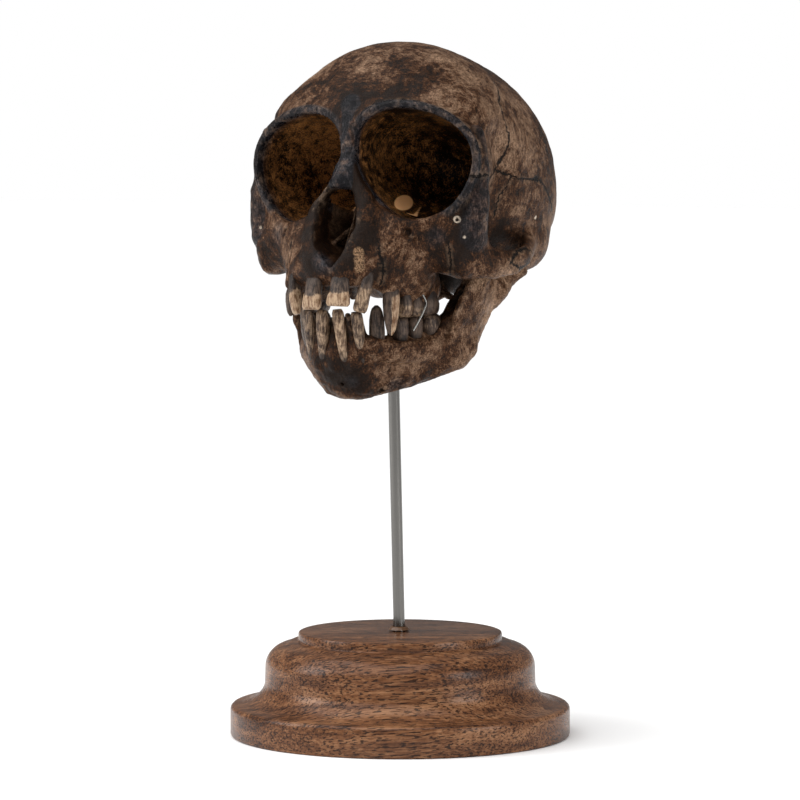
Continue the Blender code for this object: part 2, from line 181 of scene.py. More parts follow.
def millimetres(maker):
    """Object coordinates in millimetres."""
    coordinates = maker.add("ShaderNodeTexCoord").outputs["Object"]
    return maker.stretch(coordinates, (1 / MM, 1 / MM, 1 / MM))


# %% Floor and light
def add_light(name, kind, place, power, size=None, angle=None):
    """A lamp that looks at the middle of the object."""
    lamp = bpy.data.lights.new(name, kind)
    lamp.energy = power
    if size:
        lamp.size = size
    if angle:
        lamp.angle = angle
    obj = bpy.data.objects.new(name, lamp)
    obj.location = place
    obj.rotation_mode = "QUATERNION"
    obj.rotation_quaternion = (Vector((0.0, 0.0, 0.10)) - obj.location).to_track_quat("-Z", "Y")
    scene.collection.objects.link(obj)


def build_studio():
    """White floor, white surroundings for the camera, dim ones for the object, and three lamps."""
    mesh = bpy.data.meshes.new("floor")
    reach = 6.0
    mesh.from_pydata([(-reach, -reach, 0), (reach, -reach, 0), (reach, reach, 0), (-reach, reach, 0)], [],
                     [(0, 1, 2, 3)])
    floor = bpy.data.objects.new("floor", mesh)
    scene.collection.objects.link(floor)
    paper, maker, shader = new_material("white paper")
    maker.give(shader, {"Base Color": (0.93, 0.93, 0.93, 1.0), "Roughness": 0.9, "Specular IOR Level": 0.1})
    mesh.materials.append(paper)

    world = bpy.data.worlds.new("studio")
    scene.world = world
    world.use_nodes = True
    maker = Maker(world.node_tree)
    world.node_tree.nodes.clear()
    ambient = maker.add("ShaderNodeBackground", {"Color": (1.0, 0.99, 0.98, 1.0), "Strength": 0.22})
    seen = maker.add("ShaderNodeBackground", {"Color": (1.0, 1.0, 1.0, 1.0), "Strength": 1.0})
    ray = maker.add("ShaderNodeLightPath").outputs["Is Camera Ray"]
    both = maker.add("ShaderNodeMixShader", {0: ray, 1: ambient.outputs[0], 2: seen.outputs[0]})
    maker.add("ShaderNodeOutputWorld", {"Surface": both.outputs[0]})

    add_light("overhead", "SUN", (-0.18, -0.35, 1.0), 3.1, angle=math.radians(80))
    add_light("left box", "AREA", (-0.75, -0.55, 0.42), 5.0, size=0.5)
    add_light("right box", "AREA", (0.85, -0.05, 0.30), 3.2, size=0.4)
    scene.view_settings.view_transform = "Standard"
    scene.view_settings.look = "None"


build_studio()

# %% [markdown]
# ## Bone as a distance field
# A skull is all soft swellings, bars and hollows that flow into one another. Boxes and
# Booleans would leave seams, so the bone is written as a field instead: each mass says how far a
# point is from its surface, and a soft minimum lets two masses grow together.

# %% Forms of the field
# The turn of a ball that stands level, and the flattening of a bar that stays round
LEVEL = (0, 0, 0)
ROUND = (1, 1, 1)


def ball(P, centre, radii, turn=LEVEL):
    """Distance to a stretched and turned ball; P holds the grid's x, y and z in millimetres."""
    x, y, z = (P[i] - np.float32(centre[i]) for i in range(3))
    about_x, about_y, about_z = (math.radians(t) for t in turn)
    c, s = math.cos(about_z), math.sin(about_z)
    x, y = x * c + y * s, -x * s + y * c
    c, s = math.cos(about_y), math.sin(about_y)
    x, z = x * c - z * s, x * s + z * c
    c, s = math.cos(about_x), math.sin(about_x)
    y, z = y * c + z * s, -y * s + z * c
    rx, ry, rz = radii
    reach = np.sqrt((x / rx) ** 2 + (y / ry) ** 2 + (z / rz) ** 2)
    slope = np.sqrt((x / rx ** 2) ** 2 + (y / ry ** 2) ** 2 + (z / rz ** 2) ** 2)
    return reach * (reach - 1) / np.maximum(slope, 1e-5)


def bar(P, points, flatten=ROUND):
    """Distance to a bar that runs through (x, y, z, radius) points, made flatter along each axis."""
    X, Y, Z = (P[i] * flatten[i] for i in range(3))
    nearest = None
    for start, end in zip(points[:-1], points[1:]):
        a = [start[i] * flatten[i] for i in range(3)]
        d = [end[i] * flatten[i] - a[i] for i in range(3)]
        length2 = max(1e-9, sum(v * v for v in d))
        t = np.clip(((X - a[0]) * d[0] + (Y - a[1]) * d[1] + (Z - a[2]) * d[2]) / length2, 0, 1)
        gap = np.sqrt((X - a[0] - t * d[0]) ** 2 + (Y - a[1] - t * d[1]) ** 2 + (Z - a[2] - t * d[2]) ** 2)
        gap = gap - (start[3] + t * (end[3] - start[3]))
        nearest = gap if nearest is None else np.minimum(nearest, gap)
    return nearest


def grow(a, b, k):
    """Two masses grown together over a width of k."""
    h = np.clip(0.5 + (b - a) * (0.5 / k), 0, 1)
    return b + (a - b) * h - k * h * (1 - h)


def cut(a, b, k=0.5):
    """Mass a with form b taken out of it."""
    return -grow(-a, b, k)


def grow_balls(form, P, balls):
    """Balls grown on one after another; each is centre, radii, turn and width of the blend."""
    for centre, radii, turn, k in balls:
        form = grow(form, ball(P, centre, radii, turn), k)
    return form


def grow_bars(form, P, bars):
    """Bars grown on one after another; each is points, flattening and width of the blend."""
    for points, flatten, k in bars:
        form = grow(form, bar(P, points, flatten), k)
    return form


def cut_pits(form, P, pits):
    """Small round pits; each is x, y, z and radius."""
    for x, y, z, radius in pits:
        form = cut(form, ball(P, (x, y, z), (radius, radius, radius)), 0.25)
    return form


# %% The eye sockets
ORBIT = (14.8, -18.6, 128.0)
ORBIT_APEX = (9.8, 8.0, 125.5)
ORBIT_TURN = math.radians(13.7)
ORBIT_RADIUS = 12.5
# How far each socket is shifted from the mirrored place: across and up
ORBIT_SHIFT = {1: (-0.5, 0.0), -1: (-1.6, -1.2)}


def orbit_place(P, side):
    """How far round, out and deep each point lies in one eye socket's own funnel."""
    inward = (-math.sin(ORBIT_TURN), math.cos(ORBIT_TURN))
    across = (math.cos(ORBIT_TURN), math.sin(ORBIT_TURN))
    x = side * P[0] - ORBIT[0] - ORBIT_SHIFT[side][0]
    y = P[1] - ORBIT[1]
    z = P[2] - ORBIT[2] - ORBIT_SHIFT[side][1]
    depth = x * inward[0] + y * inward[1]
    run = [ORBIT_APEX[i] - ORBIT[i] for i in range(3)]
    full = run[0] * inward[0] + run[1] * inward[1]
    out_side = x * across[0] + y * across[1] - depth * (run[0] * across[0] + run[1] * across[1]) / full
    rise = z - depth * run[2] / full
    angle = np.arctan2(rise, out_side)
    out = np.sqrt(out_side ** 2 + rise ** 2)

    def swell(amount, middle, width):
        away = (angle - math.radians(middle) + math.pi) % (2 * math.pi) - math.pi
        return amount * np.exp(-(away / math.radians(width)) ** 2)

    opening = ORBIT_RADIUS * (1 + swell(0.12, 142, 30)) * (1 - swell(0.12, 222, 34))
    opening = opening * (1 - swell(0.10, 75, 38)) * (1 + swell(0.07, 8, 28))
    share = np.sqrt(np.clip(1 - (np.clip(depth, 0, full) / full) ** 2, 0, 1))
    return out, opening, share, depth, full


# %% The cranium's field
# The nose opening's half width at each height, its raised edge, and how far top and tip lean aside
NOSE = ((100, -3.0), (105.4, 0.2), (107.5, 2.2), (110.5, 4.1), (114, 5.1), (117.5, 4.8), (119.5, 3.9),
        (121.2, 2.7), (122.3, 1.2), (123.3, -1.5), (140, -16))
NOSE_EDGE = ((2.6, -23.4, 126.0, 1.7), (5.8, -24.4, 118.5, 2.2), (6.2, -26.8, 112.0, 2.5),
             (3.8, -29.8, 106.5, 2.4))
NOSE_TOP_ASIDE = -1.2
NOSE_TIP_ASIDE = 1.3
# The bar of bone outside each socket, and the one that joins the sockets over the nose
CHEEK_PILLAR = ((26.2, -13.0, 134.0, 1.6), (28.0, -13.4, 126.0, 1.6), (27.8, -14.2, 119.0, 2.3),
                (26.2, -14.4, 112.0, 3.3))
BRIDGE = ((0, -20.0, 140.0, 1.9), (0, -21.6, 134.5, 1.3), (0, -23.0, 129.0, 1.6), (0, -25.6, 124.0, 2.0))


def braincase(P):
    """Four big balls and a swelling over each brow, with the temple hollowed out."""
    form = ball(P, (0, -1.5, 131.0), (26.6, 22.2, 23.3))
    form = grow_balls(form, P, (((0, 7.5, 128.4), (25.6, 27.0, 24.6), LEVEL, 5),
                                ((0, 15.4, 124.4), (26.0, 30.7, 25.4), LEVEL, 5),
                                ((0, 17.0, 117.0), (25.0, 27.0, 17.0), LEVEL, 5),
                                ((14.0, -7.5, 136.2), (12.2, 11.0, 9.2), LEVEL, 3)))
    form = cut(form, ball(P, (31.5, -3.0, 122.0), (8.5, 9.5, 17.0)), 2.2)
    return cut(form, ball(P, (30.0, -1.5, 112.6), (7.4, 9.4, 7.0)), 1.4)


def face(P):
    """The snout and, going outwards, the cheek, with the row that holds the upper teeth."""
    form = ball(P, (0, -13.0, 111.5), (12.5, 14.0, 12.0))
    form = grow_balls(form, P, (((0, -22.0, 109.5), (8.6, 9.8, 9.0), LEVEL, 3),
                                ((10.0, -17.0, 109.0), (8.0, 9.5, 11.5), (0, 0, 18), 3),
                                ((19.0, -15.8, 113.5), (9.0, 4.4, 8.6), (0, 0, 30), 3),
                                ((23.6, -13.8, 109.0), (6.0, 4.2, 6.0), (0, 0, 42), 3)))
    form = grow(form, bar(P, NOSE_EDGE), 2.0)
    tooth_row = ((0, -30.6, 105.0, 2.2), (3.4, -30.6, 104.8, 2.2), (8.0, -28.4, 105.0, 2.3),
                 (11.2, -24.0, 104.0, 2.4), (12.6, -18.0, 101.4, 2.6), (13.2, -10.5, 101.0, 2.7))
    return grow(form, bar(P, tooth_row, (1, 1, 0.62)), 2)


# %% The skull base and the mirrored whole
def skull_base(P):
    """The ear bones, the joint beside the spine's hole and the thin plates behind the palate."""
    form = ball(P, (0, 5.0, 109.0), (10.0, 15.0, 5.5))
    form = grow(form, ball(P, (20.0, 19.0, 110.0), (5.5, 8.5, 6.5)), 3)
    form = grow(form, ball(P, (12.5, 12.5, 103.0), (5.4, 8.2, 6.0), (0, 0, -24)), 2.0)
    plates = ((9.0, -6.0, 102.5, 1.0), (10.6, -2.6, 98.8, 0.9), (11.4, 2.5, 101.5, 1.2))
    form = grow(form, bar(P, plates, (1, 0.7, 0.5)), 1.5)
    form = grow(form, bar(P, ((10.2, -0.5, 99.6, 0.9), (13.8, -1.8, 98.4, 0.7)), (1, 0.8, 0.8)), 0.6)
    return grow(form, ball(P, (8.2, 24.0, 101.8), (3.2, 5.6, 3.6), (0, 0, 20)), 2.0)


def lumps(P, height, length):
    """Shallow, uneven swellings, as old bone has: three crossed waves that never line up."""
    x, y, z = (P[i] * (2 * math.pi / length) for i in range(3))
    first = np.sin(0.9 * x + 1.1 * y + 0.4) * np.sin(1.2 * z - 0.5 * x + 1.3)
    second = np.sin(1.7 * z + 0.8 * y + 2.1) * np.sin(1.6 * y - 1.1 * x + 0.7)
    third = np.sin(2.9 * x + 2.3 * z + 0.2) * np.sin(2.7 * y + 1.9 * x - 1.0)
    return height * (first + 0.7 * second + 0.4 * third)


def mirrored_cranium(P):
    """The parts that are the same on both sides."""
    form = grow(braincase(P), bar(P, BRIDGE), 1.6)
    form = grow(form, face(P), 2.5)
    form = grow(form, bar(P, CHEEK_PILLAR), 0.9)
    form = grow(form, skull_base(P), 3)
    arch = ((24.8, -14.0, 107.8, 4.6), (28.2, -9.0, 106.0, 3.3), (29.9, -2.0, 106.2, 2.6),
            (29.4, 4.0, 107.6, 2.3), (27.2, 9.5, 109.0, 2.4), (24.6, 14.5, 110.5, 2.6))
    form = grow(form, bar(P, arch, (1.9, 1.0, 1.0)), 1.5)
    return grow(form, bar(P, ((10.2, -25.6, 110.0, 0.8), (11.9, -25.6, 105.0, 1.4),
                              (12.1, -25.2, 101.4, 1.7))), 2.5)


# %% [markdown]
# ## What differs from side to side
# Grown bone is never quite even. The sockets sit a little apart, the nose leans, and nerve holes lie
# where they like. These forms are carved into the whole head, after its left half is mirrored.

# %% What is carved into the cranium
# The thin wall down the middle of the nose and the curled plates beside it: points and flattening
NOSE_PLATES = (
    (((-0.6, -23.0, 107.5, 0.35), (-0.3, -19.5, 114.0, 0.35), (0.0, -17.5, 120.0, 0.35)), (1, 0.25, 1)),
    (((3.2, -22.5, 110.5, 0.6), (2.2, -19.0, 112.5, 0.8), (3.0, -15.0, 113.5, 0.7)), ROUND),
    (((-3.4, -22.5, 110.5, 0.6), (-2.4, -19.0, 112.5, 0.8), (-3.2, -15.0, 113.5, 0.7)), ROUND),
    (((3.4, -20.0, 117.5, 0.5), (2.4, -16.0, 117.0, 0.6)), ROUND),
)
# Small holes for nerves: place and radius
FACE_PITS = ((15.3, -23.6, 113.1, 1.1), (16.8, -22.6, 111.6, 0.7), (24.2, -17.2, 115.7, 0.5),
             (26.3, -17.7, 112.0, 0.4), (-15.6, -23.4, 112.6, 1.1), (-25.6, -17.4, 113.5, 0.5))


def carved_cranium(form, P):
    """Eye sockets, nose and the hollows below, on the whole grid."""
    form = form + lumps(P, 0.14, 8.0) * np.clip((-4 - P[1]) / 10, 0.35, 1)
    for side in (1, -1):
        out, opening, share, depth, full = orbit_place(P, side)
        wall = np.maximum(out - (opening * share + 1.8), -(depth + 0.2))
        form = grow(form, np.maximum(wall, depth - full), 2.2)
        form = grow(form, np.sqrt((out - opening - 0.8) ** 2 + (depth + 1.1) ** 2) - 1.0, 0.6)
    for side in (1, -1):
        out, opening, share, depth, full = orbit_place(P, side)
        funnel = np.maximum(out - opening * share, depth - (full - 0.3))
        form = cut(form, np.maximum(funnel, -(depth + 9)), 0.5)
    form = cut_pits(form, P, FACE_PITS)
    widths = np.interp(P[2], [row[0] for row in NOSE], [row[1] for row in NOSE])
    aside = NOSE_TOP_ASIDE * np.clip((P[2] - 116) / 4, 0, 1)
    aside = aside + NOSE_TIP_ASIDE * np.clip((111 - P[2]) / 4, 0, 1)
    form = cut(form, np.maximum(np.abs(P[0] - aside) - widths, P[1] + 12.0), 0.4)
    for points, flatten in NOSE_PLATES:
        form = grow(form, bar(P, points, flatten), 0.6)
    form = cut(form, ball(P, (0, -12.0, 95.0), (8.4, 17.0, 8.0)), 1.0)
    return cut(form, ball(P, (0, 30.0, 96.0), (6.5, 7.5, 11.0)), 1.0)


# %% [markdown]
# ## The lower jaw
# The lower jaw is one bent bar with a row of sockets on top. Behind the teeth it rises into a thin
# plate with two crests and ends in a joint. Around the front roots the bone has broken away, and
# only thin walls stand between them.

# %% The lower jaw's field
def mirrored_mandible(P):
    """The tooth row, the lower edge, the rising half behind with its two crests, and the joint."""
    tooth_row = ((0, -26.4, 87.0, 2.3), (4.6, -25.6, 87.0, 2.35), (8.6, -21.8, 86.4, 2.5),
                 (11.8, -17.2, 86.6, 2.6), (14.8, -11.0, 87.6, 2.5), (17.6, -6.5, 89.0, 2.2))
    form = bar(P, tooth_row, (1, 1, 0.62))
    lower_edge = ((0, -22.4, 79.4, 2.9), (4.0, -20.8, 79.6, 2.8), (8.4, -15.8, 81.0, 2.6),
                  (12.6, -10.6, 83.0, 2.4), (17.4, -7.0, 85.4, 2.2), (19.4, -4.0, 87.4, 1.9))
    form = grow(form, bar(P, lower_edge), 4.5)
    form = grow(form, ball(P, (0, -24.6, 84.0), (7.4, 3.6, 6.6), (30, 0, 0)), 3.0)
    ramus = ((19.0, -5.2, 89.4, 1.25), (20.6, -4.8, 94.4, 1.35), (22.2, -2.0, 100.0, 1.35))
    front_crest = ((15.6, -12.3, 89.2, 1.0), (17.6, -10.2, 93.2, 0.9), (19.0, -8.6, 95.5, 0.9),
                   (20.2, -6.4, 97.7, 0.9), (22.0, -2.4, 101.3, 0.9))
    inner_crest = ((15.4, -10.9, 91.0, 0.9), (15.9, -9.5, 93.5, 0.9), (16.8, -6.9, 96.8, 0.9),
                   (18.4, -2.1, 102.2, 0.9))
    between_crests = ((17.0, -9.5, 91.0, 1.6), (18.2, -6.6, 94.8, 1.6), (20.0, -2.6, 99.0, 1.6))
    joint_neck = ((22.2, 4.0, 99.0, 2.0), (23.2, 8.6, 103.0, 1.9))
    joint_head = ((21.8, 9.5, 104.0, 1.9), (24.8, 9.5, 104.0, 1.9))
    coronoid = ((22.0, -4.6, 99.0, 1.7), (23.4, -3.4, 103.4, 1.4), (23.8, -3.0, 106.4, 0.9))
    return grow_bars(form, P, ((ramus, (1, 0.185, 0.30), 2.0), (front_crest, ROUND, 1.2),
                               (inner_crest, ROUND, 1.2), (between_crests, ROUND, 1.6),
                               (joint_neck, ROUND, 1.8), (joint_head, ROUND, 1.4),
                               (coronoid, (1.2, 1, 1), 1.8)))


# %% What is carved into the lower jaw
# The bone that stands behind the lower front teeth; it has broken away at the left canine
SOCKET_PLATE = ((-8.8, -22.2, 89.0, 1.0), (-6.2, -25.3, 89.6, 1.5), (0.0, -27.8, 90.0, 1.6),
                (5.2, -27.0, 90.0, 1.6))
# Thin walls of bone between the lower front teeth
SOCKET_WALLS = (((0.0, -28.5, 84.0, 1.2), (0.0, -29.0, 90.5, 0.8)),
                ((4.3, -27.8, 84.0, 1.0), (4.3, -28.3, 90.5, 0.8)),
                ((-4.3, -27.8, 84.0, 1.0), (-4.3, -28.3, 90.5, 0.8)),
                ((7.7, -25.9, 84.5, 1.0), (7.8, -26.2, 89.5, 0.8)))
# The bone's outer edge along the tooth row, left and right
TOOTH_EDGES = (((6.0, -27.4, 88.6, 1.4), (9.2, -26.2, 87.8, 1.4), (13.1, -21.4, 87.1, 1.4),
                (15.0, -17.0, 87.2, 1.4), (16.8, -11.6, 87.5, 1.4)),
               ((-8.0, -24.6, 87.4, 1.2), (-11.8, -20.4, 87.1, 1.3), (-14.4, -16.8, 87.2, 1.4),
                (-16.6, -11.6, 87.5, 1.4)))
LOOSE_ROOT = ((4.1, -29.7, 95.0, 0.7), (4.5, -28.6, 90.0, 0.8), (4.5, -27.6, 86.5, 0.7))
JAW_PITS = ((6.9, -20.3, 78.8, 0.9), (0.9, -26.4, 80.2, 0.5), (9.6, -21.9, 83.3, 0.5),
            (8.6, -20.2, 79.9, 0.45), (-9.8, -22.0, 82.0, 0.8))


def carved_mandible(form, P):
    """Bone between and behind the front teeth, a loose root there and the nerve holes."""
    form = form + lumps(P, 0.16, 6.5)
    form = grow(form, bar(P, SOCKET_PLATE, (1, 1, 0.34)), 1.0)
    for wall in SOCKET_WALLS:
        form = grow(form, bar(P, wall), 0.7)
    for edge in TOOTH_EDGES:
        form = grow(form, bar(P, edge, (1, 1, 0.6)), 1.2)
    form = cut_pits(form, P, JAW_PITS)
    return grow(form, bar(P, LOOSE_ROOT), 0.5)


# %% [markdown]
# ## From field to mesh
# A field only becomes a mesh where it changes sign. Surface nets put one vertex in each grid
# cell that the surface crosses and join neighbours with quads. That gives even, calm quads,
# which shade better on bone than the slivers of marching cubes. The grid is fine over the face
# and coarser over the back of the head, where there is little to see.

# %% Surface nets
CORNERS = [(i, j, k) for i in (0, 1) for j in (0, 1) for k in (0, 1)]


def crossing_points(field, cells):
    """In each cell, the mean of the points where the cell's edges cross the surface."""
    I, J, K = cells.T
    value = {c: field[I + c[0], J + c[1], K + c[2]].astype(float) for c in CORNERS}
    total = np.zeros((len(cells), 3))
    count = np.zeros(len(cells))
    for start in CORNERS:
        for axis in range(3):
            if start[axis]:
                continue
            end = tuple(1 if i == axis else start[i] for i in range(3))
            first, last = value[start], value[end]
            crossed = (first < 0) != (last < 0)
            share = np.where(crossed, first / np.where(crossed, first - last, 1), 0)
            for i in range(3):
                total[:, i] += np.where(crossed, start[i] + (share if i == axis else 0), 0)
            count += crossed
    return cells + total / count[:, None]


def surface_nets(field, axes):
    """Vertices in millimetres and outward quads of the field's zero level."""
    solid = field < 0
    nx, ny, nz = field.shape
    filled = sum(solid[i:nx - 1 + i, j:ny - 1 + j, k:nz - 1 + k].astype(np.int8) for i, j, k in CORNERS)
    active = (filled > 0) & (filled < 8)
    number = -np.ones(active.shape, np.int64)
    cells = np.argwhere(active)
    number[active] = np.arange(len(cells))
    spots = crossing_points(field, cells)
    verts = np.stack([np.interp(spots[:, i], np.arange(len(axes[i])), axes[i]) for i in range(3)], 1)
    quads = []
    for axis in range(3):
        ahead = np.moveaxis(solid, axis, 0)
        changes = np.argwhere(np.moveaxis(ahead[:-1] != ahead[1:], 0, axis))
        u, w = (axis + 1) % 3, (axis + 2) % 3
        inner = (changes[:, u] > 0) & (changes[:, w] > 0)
        inner &= (changes[:, u] < field.shape[u] - 1) & (changes[:, w] < field.shape[w] - 1)
        changes = changes[inner]
        corners = []
        for du, dw in ((1, 1), (0, 1), (0, 0), (1, 0)):
            cell = changes.copy()
            cell[:, u] -= du
            cell[:, w] -= dw
            corners.append(number[tuple(cell.T)])
        quad = np.stack(corners, 1)
        outside = ~solid[tuple(changes.T)]
        quad[outside] = quad[outside][:, ::-1]
        quads.append(quad)
    return verts, np.concatenate(quads)


# %% Reading the field near the surface
def sample(field, axes, points):
    """The field's value at any points, blended from the eight grid points around each."""
    index, part = [], []
    for i in range(3):
        spot = np.interp(points[:, i], axes[i], np.arange(len(axes[i])))
        whole = np.clip(spot.astype(int), 0, len(axes[i]) - 2)
        index.append(whole)
        part.append(spot - whole)
    total = 0
    for corner in CORNERS:
        weight = 1
        for i in range(3):
            weight = weight * (part[i] if corner[i] else 1 - part[i])
        total = total + weight * field[index[0] + corner[0], index[1] + corner[1], index[2] + corner[2]]
    return total


def make_mesh(name, verts, faces, mats):
    """An object with its mesh in metres and smooth shading, its place in the mesh."""
    mesh = bpy.data.meshes.new(name)
    mesh.from_pydata((np.asarray(verts) * MM).tolist(), [], [list(f) for f in faces])
    for mat in mats:
        mesh.materials.append(mat)
    mesh.shade_smooth()
    obj = bpy.data.objects.new(name, mesh)
    scene.collection.objects.link(obj)
    return obj


def face_outwards(mesh, merge=0.0):
    """Join points that lie closer than a merge distance in metres, then point every face out."""
    bm = bmesh.new()
    bm.from_mesh(mesh)
    if merge:
        bmesh.ops.remove_doubles(bm, verts=bm.verts, dist=merge)
    bmesh.ops.recalc_face_normals(bm, faces=bm.faces)
    bm.to_mesh(mesh)
    bm.free()


def write_values(obj, **values):
    """Keep a number for each vertex, for the materials to read."""
    for name, numbers in values.items():
        layer = obj.data.attributes.new(name, "FLOAT", "POINT")
        layer.data.foreach_set("value", np.asarray(numbers, np.float32))


# %% Hollows and edges
def hollow_and_edge(field, axes, verts, normals):
    """How closed in each place is, for the painted shade in hollows, and how much it stands out as an edge.
    """
    open_air = 0
    for reach in (1.5, 3.0, 6.0, 10.0):
        open_air = open_air + np.clip(sample(field, axes, verts + normals * reach) / reach, 0, 1) / 4
    edge = 0
    for reach in (0.8, 1.6, 3.0):
        edge = edge + np.clip(1 + sample(field, axes, verts - normals * reach) / reach, 0, 1) / 3
    return 1 - open_air, edge


def mesh_normals(mesh):
    normals = np.zeros(len(mesh.vertices) * 3, np.float32)
    mesh.vertices.foreach_get("normal", normals)
    return normals.reshape(-1, 3)


# %% [markdown]
# ## Waxed bone
# Old bone like this is not one brown: the edges are worn to tan, and fine streaks follow the way
# each bone grew. The hollows get painted shade. The material mixes these from noise of three
# sizes, and reads the hollows and edges that were measured on the mesh.

# %% Where the colour changes
def spots(verts, places):
    """The strongest of several soft round spots; a place is x, y, z, radius and strength."""
    strongest = np.zeros(len(verts))
    for x, y, z, radius, strength in places:
        gap2 = ((verts - (x, y, z)) ** 2).sum(1)
        strongest = np.maximum(strongest, strength * np.exp(-gap2 / radius ** 2))
    return strongest


def columns(verts):
    """x, y and z as three lists, in the form that the field's helpers read."""
    return [verts[:, i] for i in range(3)]


def beside(verts, points, width):
    """1 on a bar of points or its mirror image, fading to 0 over a width."""
    x, y, z = columns(verts)
    return np.exp(-np.clip(bar([np.abs(x), y, z], points), 0, 9) ** 2 / width ** 2)


def shape_distance(verts, rings=(), dots=(), lines=()):
    """Distance in millimetres to the edge of the nearest ring, dot or stripe, negative inside it."""
    nearest = np.full(len(verts), 3.0)
    for x, y, z, radius, half_width in rings:
        gap = np.linalg.norm(verts - (x, y, z), axis=1)
        nearest = np.minimum(nearest, np.abs(gap - radius) - half_width)
    for x, y, z, radius in dots:
        nearest = np.minimum(nearest, np.linalg.norm(verts - (x, y, z), axis=1) - radius)
    for points in lines:
        nearest = np.minimum(nearest, bar(columns(verts), points))
    return nearest


# %% Marks of the cranium
# The tan disc and the sliver seen in the left eye socket. They are colour on a slanting wall, laid
# along the camera's line of sight, so the disc looks round from the camera and long from elsewhere.
TAN_LINES = (((3.2, -3.0, 118.8, 1.8), (8.7, -14.3, 119.4, 1.8)),
             ((8.8, -12.3, 116.9, 0.15), (9.7, -10.3, 116.4, 0.5), (7.4, -3.7, 118.2, 0.1)))
# Pale bone round a nerve hole and where the wax has chipped
PALE_RINGS = ((23.9, -17.0, 115.7, 0.70, 0.22),)
PALE_DOTS = ((26.1, -17.6, 112.0, 0.35), (-25.8, -17.3, 113.5, 0.35), (26.1, 15.0, 115.7, 0.5))


def cranium_marks(verts):
    """Eye socket lining, blackened rims, worn pale places, painted shade behind the upper teeth and in the
    temple hollow, and the brow's sideways grain.
    """
    lining = np.zeros(len(verts))
    rims = np.zeros(len(verts))
    for side in (1, -1):
        out, opening, share, depth, full = orbit_place(columns(verts), side)
        inside = np.clip((opening * share + 0.9 - out) / 0.8, 0, 1) * np.clip((depth - 0.4) / 1.6, 0, 1)
        lining = np.maximum(lining, inside)
        rims = np.maximum(rims, np.exp(-((out - opening - 0.8) ** 2 + (depth + 1.0) ** 2) / 1.35 ** 2))
    rims = np.maximum(rims, beside(verts, BRIDGE, 1.2))
    rims = np.maximum(rims, 0.50 * beside(verts, CHEEK_PILLAR, 1.3))
    rims = np.maximum(rims, spots(verts, ((0, -32, 107, 5.0, 0.6), (24, -15, 112, 6.0, 0.45),
                                          (-24, -15, 112, 6.5, 0.5), (20, -19, 112, 5, 0.5),
                                          (-18, -20, 112, 6, 0.5), (8, -27, 106, 3.0, 0.4))))
    pale_and_painted_shade = spots(verts, ((3, -15, 150, 6, 0.7), (-9, -14, 147, 6, 0.3), (18, -4, 148, 9, 0.9),
                         (29, 1, 134, 5.0, 2.1), (26.5, 6.9, 132.9, 9, 1.2), (25, 0, 140, 7, 1.0),
                         (27, 9, 120, 8, 0.5), (-11.5, -6, 126, 14, 1.4), (29, -6, 106, 4, 1.0),
                         (30, 5, 109, 3.5, 1.5), (7, -27, 123, 2.0, 0.6), (-12, -6, 149, 6, 0.3),
                         (-1, -27, 122.6, 1.5, 2.0), (13, -26, 100.6, 2.0, 1.0),
                         (12.6, -1.6, 98.6, 1.6, 3.0)))
    # Darker spots: most are darker bone. The four at the plates behind the upper teeth and the two in the
    # hollow behind the cheek pillar are painted shade.
    pale_and_painted_shade = pale_and_painted_shade - spots(verts, ((0, -21, 142.5, 7, 1.2), (12, -19.5, 143.5, 7, 1.2),
                                (-12, -19.5, 142, 6, 0.9), (22, -19, 110, 7, 0.9), (-22, -19, 110, 7, 0.7),
                                (0, -31, 105, 6, 0.7), (25, -4, 113, 6, 2.5), (26, 4, 112, 5, 2.0),
                                (14, -24, 104, 6, 0.7), (12, -5, 126, 14, 0.6), (13, -3, 103, 3.5, 2.5),
                                (10, 3, 101.5, 5, 2.5), (17, -6, 102.5, 4, 2.2), (21, -8, 103.5, 3, 1.8)))
    pale_and_painted_shade = pale_and_painted_shade - 1.5 * beside(verts, NOSE_EDGE, 1.6)
    brow = np.clip((verts[:, 2] - 139) / 3, 0, 1) * np.clip((6 - verts[:, 1]) / 8, 0, 1)
    spongy = spots(verts, ((7.3, -30.5, 108.8, 1.35, 1.0), (7.5, -30.6, 107.1, 1.35, 1.0),
                           (7.6, -30.6, 105.4, 1.35, 1.0)))
    return {"lining": lining, "rims": rims * (1 - lining), "pale_and_painted_shade": pale_and_painted_shade, "brow": brow, "spongy": spongy,
            "tan_shape": shape_distance(verts, lines=TAN_LINES),
            "pale_shape": shape_distance(verts, PALE_RINGS, PALE_DOTS)}


